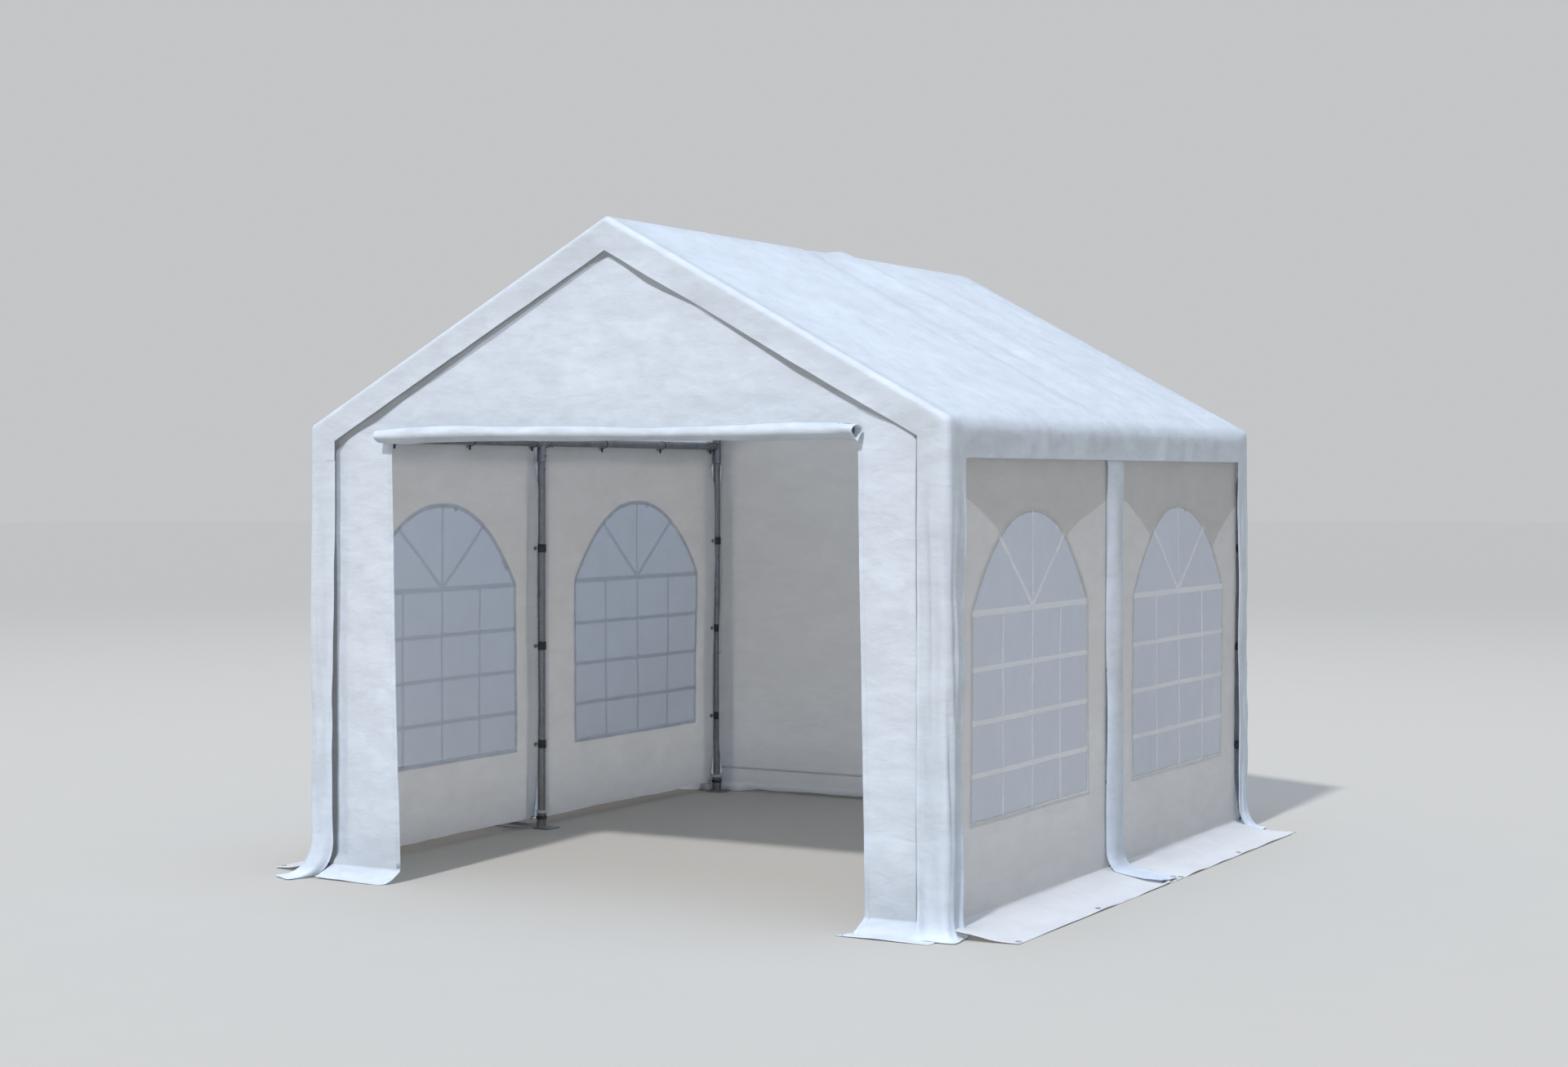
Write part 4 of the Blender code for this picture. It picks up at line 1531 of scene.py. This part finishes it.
def window_middle(side_name, panel):
    """Place of a window's middle along its wall."""
    start, end = panel_ends(panel)
    return (start + end) / 2 + WINDOW_SHIFT[side_name]


def panel_ends(panel):
    """Where a side wall's panel starts and ends along the tent."""
    return (-END_FACE, MID_POST_Y) if panel == "front" else (MID_POST_Y, END_FACE)


def window_outline(middle, inset, steps=44):
    """An arched window as points (place along the wall, height), drawn in by inset."""
    half = WINDOW_WIDTH / 2 - inset
    sill = WINDOW_SILL + inset
    spring = WINDOW_SILL + WINDOW_SIDE - inset
    points = [(middle - half, sill), (middle + half, sill)]
    for i in range(steps + 1):
        along = math.cos(math.pi * i / steps)
        rise = ARCH_RISE * (1 - abs(along) ** ARCH_POWER)
        points.append((middle + half * along, spring + rise))
    return points


def side_fall():
    """The line that a side wall follows, from the eave down and out along the ground."""
    return [
        (SIDE_FACE - 0.001, WALL_TOP),
        (SIDE_FACE - 0.001, SIDE_FOLD),
        (SIDE_FACE + 0.080, 0.030),
        (SIDE_FACE + 0.180, 0.010),
        (SIDE_FACE + 0.274, 0.0020),
    ]


def side_place(side):
    """Puts the points of a side wall in the tent, at its left or right side."""
    return lambda along, out, up: np.stack([side * out, along, up], axis=1)


EAVE_HOOKS = {
    "front": [-1.60, -1.147, -0.587, -0.087],
    "rear": [0.023, 0.523, 1.073, 1.583],
}
POST_EYELETS = [1.370, 0.893, 0.413, 0.050]
HOOK_HEIGHT = 1.867
POST_EYELET_AWAY = 0.037
EYELET_LIFT = 0.0018
SIDE_POSTS = {"front": (-POST_Y, MID_POST_Y), "rear": (MID_POST_Y, POST_Y)}
# Lower edge of the painted shade on the upper part of the right-hand walls, as (along, height)
SIDE_PAINTED_SHADE = {
    "front": [(-1.66, 1.70), (-1.43, 1.619), (-1.344, 1.578), (-1.237, 1.531), (-1.165, 1.482),
              (-1.150, 1.20), (-0.560, 1.20), (-0.550, 1.455), (-0.516, 1.480), (-0.381, 1.539),
              (-0.242, 1.578), (-0.088, 1.622), (0.0, 1.645)],
    "rear": [(-0.04, 1.66), (0.169, 1.597), (0.296, 1.530), (0.412, 1.462), (0.450, 1.430),
             (0.465, 1.20), (1.185, 1.20), (1.200, 1.360), (1.231, 1.395), (1.380, 1.494),
             (1.549, 1.579), (1.66, 1.63)],
}


def side_wall(side_name, panel):
    """The hanging sheet of a side wall panel."""
    seed = 90 + 10 * (side_name == "right") + 4 * (panel == "rear")
    curls = [(post, 0.018, 0.018) for post in SIDE_POSTS[panel]]
    droop = (1.56, 1.62) if panel == "rear" else NO_DROOP
    waves = wall_waves(seed, EAVE_HOOKS[panel], WALL_TOP, curls, droop)
    return Hanging(side_fall(), side_place(SIDES[side_name]), waves)


def side_outline(panel, low):
    """Flat outline of a side wall panel, drawn in beside the corner post it is tied to."""
    end = END_FACE - 0.002
    tied = POST_Y - POST_EDGE
    near = {"front": MID_POST_Y - POST_EDGE, "rear": MID_POST_Y + POST_EDGE}[panel]
    corner = [(end, WALL_TOP), (end, 1.82), (tied, 1.77), (tied, 0.10), (end, 0.06)]
    if panel == "rear":
        foot = [(end, -0.010), (end + 0.012, low)]
        return [(near, low), *reversed(corner + foot), (near, WALL_TOP)]
    foot = [(end + 0.004, -0.010), (end - 0.045, low)]
    return [(near, low), (near, WALL_TOP), *((-along, height) for along, height in corner + foot)]


def eyelet_places(panel, low):
    """Pattern places of a side wall's eyelets: at the eave, beside the posts and on the flap."""
    first, last = SIDE_POSTS[panel]
    places = [(along, HOOK_HEIGHT) for along in EAVE_HOOKS[panel]]
    for height in POST_EYELETS:
        places.append((first + POST_EYELET_AWAY, height))
        places.append((last - POST_EYELET_AWAY, height))
    ground = {"front": [-1.575, -0.810, -0.080], "rear": [0.120, 0.860, 1.630]}
    places += [(along, low + 0.018) for along in ground[panel]]
    return places


class TENT_OT_side_walls(bpy.types.Operator):
    """Windowed panels of the long sides, with ground flaps, hems and eyelets"""

    bl_idname = "tent.side_walls"
    bl_label = "Side Walls"

    def execute(self, context):
        sizes = context.scene.tent_sizes
        panel_finish = finish_of("coated_panel")
        for side_name in SIDES:
            for panel in ("front", "rear"):
                node = f"{side_name}_wall_{panel}"
                wall = side_wall(side_name, panel)
                low = wall.height[-1]
                outline = side_outline(panel, low)
                middle = window_middle(side_name, panel)
                window = window_outline(middle, 0)
                places = eyelet_places(panel, low)
                holes = [window] + [circle(p, sizes.eyelet * 0.7) for p in places]
                # Painted shade on the upper part of the right-hand walls
                painted_shade = [(SIDE_PAINTED_SHADE[panel], 1.0)] if side_name == "right" else []
                sheet = wall.sheet(
                    f"{node}_sheet", outline, holes, panel_finish, [node], painted_shade, SIDE_FOLD
                )
                thicken(sheet, sizes.cloth)
                hems = Gathered()
                weld = turned_in(weld_section(sizes.weld))
                hems.add(*wall.welt(stepped_outline(window, HEM_SPACING), weld))
                border = stepped_outline(outline, HEM_SPACING)
                hems.add(*wall.welt(border, hem_section(0.010, 0.0015)))
                hem_finish = finish_of("coated_hem") if side_name == "left" else panel_finish
                hem = hems.piece(f"{node}_hems", hem_finish, "wall_cloth")
                tapes = Gathered()
                for post, way in zip(SIDE_POSTS[panel], (1, -1), strict=True):
                    place = post + way * (POST_EDGE + 0.0005)
                    path = stepped_path([(place, 0.11), (place, 1.765)][::way], HEM_SPACING)
                    tapes.add(*wall.welt(path, tape_section(), loop=False))
                tape = tapes.piece(f"{node}_edge_tapes", finish_of("film_bar"), "wall_cloth")
                rings = Gathered()
                for place in places:
                    spot, normal = wall.facing(place)
                    rings.add(*eyelet(spot + normal * EYELET_LIFT, normal, sizes.eyelet))
                    if normal[2] < 0.5:
                        rings.add(*eyelet(spot - normal * EYELET_LIFT, -normal, sizes.eyelet))
                metal = rings.piece(f"{node}_eyelets", finish_of("eyelet_metal"), "tube_steel")
        return {"FINISHED"}


# A window's bars, and how far they stand out from the middle of the film
BAR_THICKNESS = 0.0005
BAR_LIFT = 0.0008


def window_bars(middle, width):
    """Flat shapes of a window's bars: level ones, uprights, and rays in its arch."""
    half = WINDOW_WIDTH / 2
    spring = WINDOW_SILL + WINDOW_SIDE
    thin = width * 0.68
    shapes = []

    def band(start, end, wide):
        start, end = np.array(start), np.array(end)
        way = (end - start) / np.linalg.norm(end - start)
        aside = np.array([-way[1], way[0]]) * wide / 2
        shapes.append(np.array([start - aside, end - aside, end + aside, start + aside]))

    for height, wide in ((spring, width * 1.25), (0.983, width), (0.779, width), (0.579, width)):
        band((middle - half - 0.004, height), (middle + half + 0.004, height), wide)
    for place in (-0.290, 0.0, 0.290):
        band((middle + place, WINDOW_SILL - 0.004), (middle + place, spring), thin)
    band((middle, spring), (middle, spring + ARCH_RISE + 0.003), thin)
    for way in (-1, 1):
        tip = (middle + way * 0.330, spring + 0.295)
        band((middle, spring + width * 0.3), tip, width * 0.95)
    return shapes


class TENT_OT_windows(bpy.types.Operator):
    """Clear film of the arched windows, and its bars"""

    bl_idname = "tent.windows"
    bl_label = "Windows"

    def execute(self, context):
        sizes = context.scene.tent_sizes
        for side_name in SIDES:
            for panel in ("front", "rear"):
                node = f"{side_name}_window_{panel}"
                wall = side_wall(side_name, panel)
                middle = window_middle(side_name, panel)
                outline = window_outline(middle, -0.010)
                points, faces = cut(outline, [], FILM_SPACING)
                place, faces = wall.at(points), faces.tolist()
                finish = finish_of("clear_film")
                film = add_piece(f"{node}_film", place, faces, finish, [node])
                thicken(film, sizes.film)
                points, faces = cut_shapes(window_bars(middle, sizes.bar), FILM_SPACING)
                place, faces = wall.at(points, BAR_LIFT), faces.tolist()
                bars = add_piece(f"{node}_bars", place, faces, finish_of("film_bar"))
                thicken(bars, BAR_THICKNESS)
        return {"FINISHED"}


# Hooks, clips and ties


def capsule(start, end, radius, sides=14):
    """A bar with round ends."""
    length = float(np.linalg.norm(np.array(end, float) - np.array(start, float)))
    profile = []
    for bend in np.linspace(0.08, math.pi / 2, 5):
        profile.append((radius * (1 - math.cos(bend)) - radius, radius * math.sin(bend)))
    for bend in np.linspace(math.pi / 2, math.pi - 0.08, 5):
        profile.append((length + radius * (1 - math.cos(bend)) - radius, radius * math.sin(bend)))
    return lathe(profile, start, end, sides)


class TENT_OT_fastenings(bpy.types.Operator):
    """Loops round the eave tubes, clips and collars on the posts, and ties at the rear"""

    bl_idname = "tent.fastenings"
    bl_label = "Fastenings"

    def execute(self, context):
        for side_name, side in SIDES.items():
            self.eave_hooks(side_name, side)
            self.post_clips(side_name, side)
            self.foot_collars(side_name, side)
        self.rear_ties()
        return {"FINISHED"}

    def piece(self, made, name, finish="black_plastic"):
        made.piece(name, finish_of(finish), "tube_steel")

    def eave_hooks(self, side_name, side):
        hooks = Gathered()
        turns = np.linspace(0, math.tau, 24, endpoint=False)
        reach = 0.0212 + 0.0080 * np.clip(side * np.cos(turns), 0, 1) ** 2
        twist = 0.003 * np.cos(2 * turns)
        ring = np.stack([reach * np.cos(turns), twist, reach * np.sin(turns)], axis=1)
        for along in (*EAVE_HOOKS["front"], *EAVE_HOOKS["rear"]):
            middle = np.array([side * POST_X, along, EAVE_TUBE_Z - 0.002])
            hooks.add(*swept(middle + ring, 0.0018, loop=True))
            top = middle + np.array([side * 0.014, 0.004, -0.022])
            hooks.add(*capsule(top, top + np.array([side * 0.001, 0, -0.014]), 0.0050))
        self.piece(hooks, f"{side_name}_eave_hooks")

    def post_clips(self, side_name, side):
        clips = Gathered()
        band = [
            (0.0, TUBE_RADIUS + 0.0006),
            (0.0, TUBE_RADIUS + 0.0030),
            (0.004, TUBE_RADIUS + 0.0042),
            (0.036, TUBE_RADIUS + 0.0042),
            (0.040, TUBE_RADIUS + 0.0030),
            (0.040, TUBE_RADIUS + 0.0006),
        ]
        for row, y in ROWS.items():
            for height in POST_EYELETS[:-1]:
                base = np.array([side * POST_X, y, height])
                clips.add(*lathe(band, base - (0, 0, 0.020), base + (0, 0, 0.020), 26))
                for way in INNER_WAYS[row]:
                    near = base + (side * 0.004, way * 0.0215, 0)
                    far = base + (side * 0.0225, way * (POST_EYELET_AWAY + 0.002), 0)
                    over = (near + far) / 2 + (-side * 0.006, 0, 0)
                    clips.add(*swept(bezier(near, over, far, 9), 0.0024))
                    knob = far + (-side * 0.006, 0, 0)
                    clips.add(*capsule(knob, knob + (-side * 0.0035, 0, 0), 0.0055))
            foot = np.array([side * POST_X, y, 0.0])
            clips.add(*ring_round(foot, 0.046, 0.060, SLEEVE_RADIUS + 0.0002, 0.0042))
        self.piece(clips, f"{side_name}_post_clips")

    def foot_collars(self, side_name, side):
        collars = Gathered()
        for y in ROWS.values():
            foot = np.array([side * POST_X, y, 0.0])
            collars.add(*ring_round(foot, 0.0745, 0.088, TUBE_RADIUS + 0.0002, 0.0062))
        self.piece(collars, f"{side_name}_foot_collars", "film_bar")

    def rear_ties(self):
        ties = Gathered()
        for side in SIDES.values():
            middle = np.array([side * (POST_X - 0.085), POST_Y, JOINT_Z + 0.045])
            over = np.array([side * math.sin(PITCH), 0, math.cos(PITCH)])
            loop = middle + 0.024 * round_ways(np.array([0, 1.0, 0]), over, 22)
            ties.add(*swept(loop, 0.003, loop=True))
        self.piece(ties, "rear_wall_ties")


def ring_round(base, low, high, inner, thick):
    """A moulded ring round a post, between two heights; base is the post's foot."""
    tall = high - low
    profile = [
        (0.0, inner),
        (0.0, inner + thick - 0.0012),
        (0.0012, inner + thick),
        (tall - 0.0012, inner + thick),
        (tall, inner + thick - 0.0012),
        (tall, inner),
    ]
    return lathe(profile, base + (0, 0, low), base + (0, 0, high), 32)


def bezier(start, middle, end, count):
    """Points along a curve from start to end, drawn towards middle."""
    share = np.linspace(0, 1, count)[:, None]
    return (1 - share) ** 2 * start + 2 * share * (1 - share) * middle + share**2 * end


# Steel frame


def hex_bolt(place, way, radius=0.0055, length=0.0045):
    """A bolt's head on the side of a sleeve."""
    place, way = np.array(place, float), np.array(way, float)
    profile = [(0, radius), (length * 0.8, radius), (length, radius * 0.86)]
    return lathe(profile, place, place + way * length, 6)


def sleeve_profile(length, radius):
    """A socket with a rolled rim at its open end."""
    return [
        (0.0, radius - 0.001),
        (0.001, radius),
        (length - 0.007, radius),
        (length - 0.005, radius + 0.0009),
        (length - 0.0015, radius + 0.0009),
        (length, radius - 0.0006),
    ]


def slope_way(side):
    """The way up a rafter."""
    return np.array([-side * math.cos(PITCH), 0.0, math.sin(PITCH)])


def under_slope(side):
    """The way square to a rafter, down into the tent."""
    return np.array([-side * math.sin(PITCH), 0.0, -math.cos(PITCH)])


# How far a bolt is from the open end of its socket
BOLT_BACK = 0.030
SLOPE_BOLT_BACK = 0.028


class TENT_OT_steel_frame(bpy.types.Operator):
    """Posts, fittings, rafters and long tubes in galvanised steel"""

    bl_idname = "tent.steel_frame"
    bl_label = "Steel Frame"

    def execute(self, context):
        for row in ROWS:
            self.ridge_fitting(row)
            for side_name in SIDES:
                self.post(side_name, row)
                self.eave_fitting(side_name, row)
                self.rafter(side_name, row)
        for bay, (first, last) in {"front": ("front", "mid"), "rear": ("mid", "rear")}.items():
            self.long_tube(f"ridge_tube_{bay}", 0.0, RIDGE_Z, first, last)
            for side_name, side in SIDES.items():
                self.long_tube(
                    f"eave_tube_{bay}_{side_name}", side * POST_X, EAVE_TUBE_Z, first, last
                )
        return {"FINISHED"}

    def piece(self, made, node):
        made.piece(f"{node}_steel", finish_of("tube_zinc"), "tube_steel", [node], 40)

    def tube(self, node, start, end):
        made = Gathered()
        length = float(np.linalg.norm(end - start))
        made.add(*lathe(bar_profile(length, TUBE_RADIUS), start, end))
        self.piece(made, node)

    def sleeve(self, made, joint, way, length, bolt_way, bolt_back=BOLT_BACK):
        """A socket from the joint along way, with a bolt's head near its open end."""
        made.add(*lathe(sleeve_profile(length, SLEEVE_RADIUS), joint, joint + way * length))
        bolt = joint + way * (length - bolt_back) + bolt_way * SLEEVE_RADIUS
        made.add(*hex_bolt(bolt, bolt_way))

    def post(self, side_name, row):
        side = SIDES[side_name]
        y = ROWS[row]
        inward = 0.0 if row == "mid" else -math.copysign(1, y)
        base = np.array([side * POST_X, y, 0.0])
        top = JOINT_Z - SLEEVE_DOWN
        made = Gathered()
        bar = bar_profile(top - 0.003, TUBE_RADIUS)
        made.add(*lathe(bar, base + (0, 0, 0.003), base + (0, 0, top)))
        socket = [
            (0.0, SLEEVE_RADIUS + 0.004),
            (0.004, SLEEVE_RADIUS + 0.0005),
            (0.066, SLEEVE_RADIUS),
            (0.068, SLEEVE_RADIUS + 0.0009),
            (0.0735, SLEEVE_RADIUS + 0.0009),
            (0.075, TUBE_RADIUS + 0.0004),
        ]
        made.add(*lathe(socket, base + (0, 0, 0.004), base + (0, 0, 0.079)))
        middle = base + (-side * 0.0275, inward * 0.0275, 0)
        made.add(*rounded_plate(middle, 0.100, 0.005, 0.008))
        pin = base + (-side * SLEEVE_RADIUS, 0, 0.045)
        made.add(*hex_bolt(pin, (-side, 0, 0)))
        button = base + (-side * TUBE_RADIUS, 0, top - 0.035)
        made.add(*capsule(button, button + np.array([-side * 0.001, 0, 0]), 0.0042))
        self.piece(made, f"post_{row}_{side_name}")

    def eave_fitting(self, side_name, row):
        side = SIDES[side_name]
        joint = np.array([side * POST_X, ROWS[row], JOINT_Z])
        inward = np.array([-side, 0.0, 0.0])
        up = slope_way(side)
        made = Gathered()
        self.sleeve(made, joint, np.array([0.0, 0.0, -1.0]), SLEEVE_DOWN, inward)
        self.sleeve(made, joint, up, SLEEVE_SLOPE, under_slope(side), SLOPE_BOLT_BACK)
        made.add(*capsule(joint, joint + up * 0.001, SLEEVE_RADIUS, 28))
        level = joint + (0, 0, EAVE_TUBE_Z - JOINT_Z)
        for way in INNER_WAYS[row]:
            self.sleeve(made, level, np.array([0.0, way, 0.0]), SLEEVE_ALONG, inward)
        self.piece(made, f"eave_fitting_{row}_{side_name}")

    def ridge_fitting(self, row):
        joint = np.array([0.0, ROWS[row], RIDGE_Z])
        made = Gathered()
        made.add(*capsule(joint, joint + (0, 0.001, 0), SLEEVE_RADIUS, 28))
        for way in INNER_WAYS[row]:
            ahead, below = np.array([0.0, way, 0.0]), np.array([0.0, 0.0, -1.0])
            self.sleeve(made, joint, ahead, SLEEVE_ALONG, below)
        for side in SIDES.values():
            down, under = -slope_way(side), under_slope(side)
            self.sleeve(made, joint, down, SLEEVE_SLOPE, under, SLOPE_BOLT_BACK)
        self.piece(made, f"ridge_fitting_{row}")

    def rafter(self, side_name, row):
        side = SIDES[side_name]
        up = slope_way(side)
        start = np.array([side * POST_X, ROWS[row], JOINT_Z]) + up * (SLEEVE_SLOPE - 0.004)
        end = np.array([0.0, ROWS[row], RIDGE_Z]) - up * (SLEEVE_SLOPE - 0.004)
        self.tube(f"rafter_{row}_{side_name}", start, end)

    def long_tube(self, node, x, z, first, last):
        start = np.array([x, ROWS[first] + SLEEVE_ALONG - 0.004, z])
        end = np.array([x, ROWS[last] - SLEEVE_ALONG + 0.004, z])
        self.tube(node, start, end)


def rounded_plate(middle, width, thick, corner):
    """A square plate with round corners, lying on the ground."""
    outline = []
    for sx, sy, first in ((1, 1, 0), (-1, 1, 90), (-1, -1, 180), (1, -1, 270)):
        for turn in np.radians(np.linspace(first, first + 90, 5)):
            x = sx * (width / 2 - corner) + corner * math.cos(turn)
            y = sy * (width / 2 - corner) + corner * math.sin(turn)
            outline.append((x, y, 0.0))
    outline = np.array(outline)
    layers = [(0.0, 1.0), (thick - 0.0008, 1.0), (thick, 0.985)]
    points = np.concatenate([middle + outline * share + (0, 0, z) for z, share in layers])
    return points, tube_faces(len(layers), len(outline))


# Stage

FLOOR_RADIUS = 90.0
# The camera, in pixels of its picture
PICTURE_WIDTH = 1920.0
PICTURE_MIDDLE = 653.0
HORIZON = 586.71
FOCAL_LENGTH = 2980.0


def sun(name, way, strength, colour, spread):
    """A distant light that shines along way."""
    data = bpy.data.lights.new(name, "SUN")
    data.energy = strength
    data.color = colour
    data.angle = math.radians(spread)
    pitch = math.atan2(math.hypot(way[0], way[1]), -way[2])
    placed(name, data).rotation_euler = (pitch, 0.0, math.atan2(-way[0], way[1]))


def floor_material(colour):
    """Plain matt floor, a little darker far away."""
    nodes = Nodes("studio_floor")
    grain = nodes.noise(2.5, 4.0, 0.55)
    away = nodes.add("ShaderNodeVectorMath", {0: nodes.place}, operation="LENGTH").outputs["Value"]
    fade = nodes.add(
        "ShaderNodeMapRange",
        {"Value": away, 1: 3.5, 2: 26.0, 3: 0.0, 4: 1.0},
        interpolation_type="SMOOTHSTEP",
    ).outputs["Result"]
    paint = nodes.mixed(grain, tint(colour, 0.985), tint(colour, 1.015))
    paint = nodes.mixed(fade, paint, tint(colour, 0.80))
    nodes.feed(nodes.shader, {"Base Color": paint, "Roughness": 0.85})
    return nodes.material


class TENT_OT_stage(bpy.types.Operator):
    """Floor, lights and camera"""

    bl_idname = "tent.stage"
    bl_label = "Stage"

    def execute(self, context):
        scene = context.scene
        studio = scene.tent_studio
        rim = round_ways((1.0, 0.0, 0.0), (0.0, 1.0, 0.0), 96)
        points = FLOOR_RADIUS * rim - (0, 0, 0.0004)
        mesh = bpy.data.meshes.new("floor")
        mesh.from_pydata(points.tolist(), [], [tuple(range(len(points)))])
        mesh.materials.append(floor_material(studio.floor))
        placed("floor", mesh)
        world = bpy.data.worlds.new("studio")
        scene.world = world
        world.use_nodes = True
        background = world.node_tree.nodes["Background"]
        background.inputs["Color"].default_value = (0.97, 0.985, 1.0, 1.0)
        background.inputs["Strength"].default_value = studio.world
        sun("key_light", (-0.03, 0.68, -0.73), studio.key, (0.965, 0.99, 1.04), 3.0)
        sun("top_light", (-0.10, 0.03, -1.0), studio.top, (0.44, 0.66, 1.0), 50.0)
        data = bpy.data.cameras.new("camera")
        data.sensor_width = 36.0
        data.lens = data.sensor_width * FOCAL_LENGTH / PICTURE_WIDTH
        data.shift_y = (HORIZON - PICTURE_MIDDLE) / PICTURE_WIDTH
        data.clip_start = 0.1
        data.clip_end = 400.0
        camera = placed("camera", data)
        camera.location = studio.camera
        camera.rotation_euler = (math.pi / 2, 0.0, studio.turn)
        scene.camera = camera
        scene.view_settings.view_transform = "Standard"
        return {"FINISHED"}


class TENT_PT_panel(bpy.types.Panel):
    """The tent's sizes and colours, and a button for each group of pieces"""

    bl_label = "Marquee Tent"
    bl_idname = "TENT_PT_panel"
    bl_space_type = "VIEW_3D"
    bl_region_type = "UI"
    bl_category = "Tent"

    def draw(self, context):
        layout = self.layout
        for group_name in GROUPS:
            group = getattr(context.scene, group_name)
            box = layout.box()
            for name in group.__annotations__:
                box.prop(group, name)
        for operator in OPERATORS:
            layout.operator(operator.bl_idname)


GROUPS = {"tent_sizes": TentSizes, "tent_colours": TentColours, "tent_studio": TentStudio}
OPERATORS = (
    TENT_OT_stage,
    TENT_OT_roof_cover,
    TENT_OT_leg_covers,
    TENT_OT_pole_flaps,
    TENT_OT_gable_walls,
    TENT_OT_door_roll,
    TENT_OT_side_walls,
    TENT_OT_windows,
    TENT_OT_fastenings,
    TENT_OT_steel_frame,
)


def register():
    for group in GROUPS.values():
        bpy.utils.register_class(group)
    for operator in OPERATORS:
        bpy.utils.register_class(operator)
    bpy.utils.register_class(TENT_PT_panel)
    for name, group in GROUPS.items():
        setattr(bpy.types.Scene, name, PointerProperty(type=group))


def unregister():
    for name in GROUPS:
        delattr(bpy.types.Scene, name)
    bpy.utils.unregister_class(TENT_PT_panel)
    for operator in reversed(OPERATORS):
        bpy.utils.unregister_class(operator)
    for group in reversed(list(GROUPS.values())):
        bpy.utils.unregister_class(group)


def main():
    register()
    for operator in OPERATORS:
        group, name = operator.bl_idname.split(".")
        getattr(getattr(bpy.ops, group), name)()


if __name__ == "__main__":
    main()
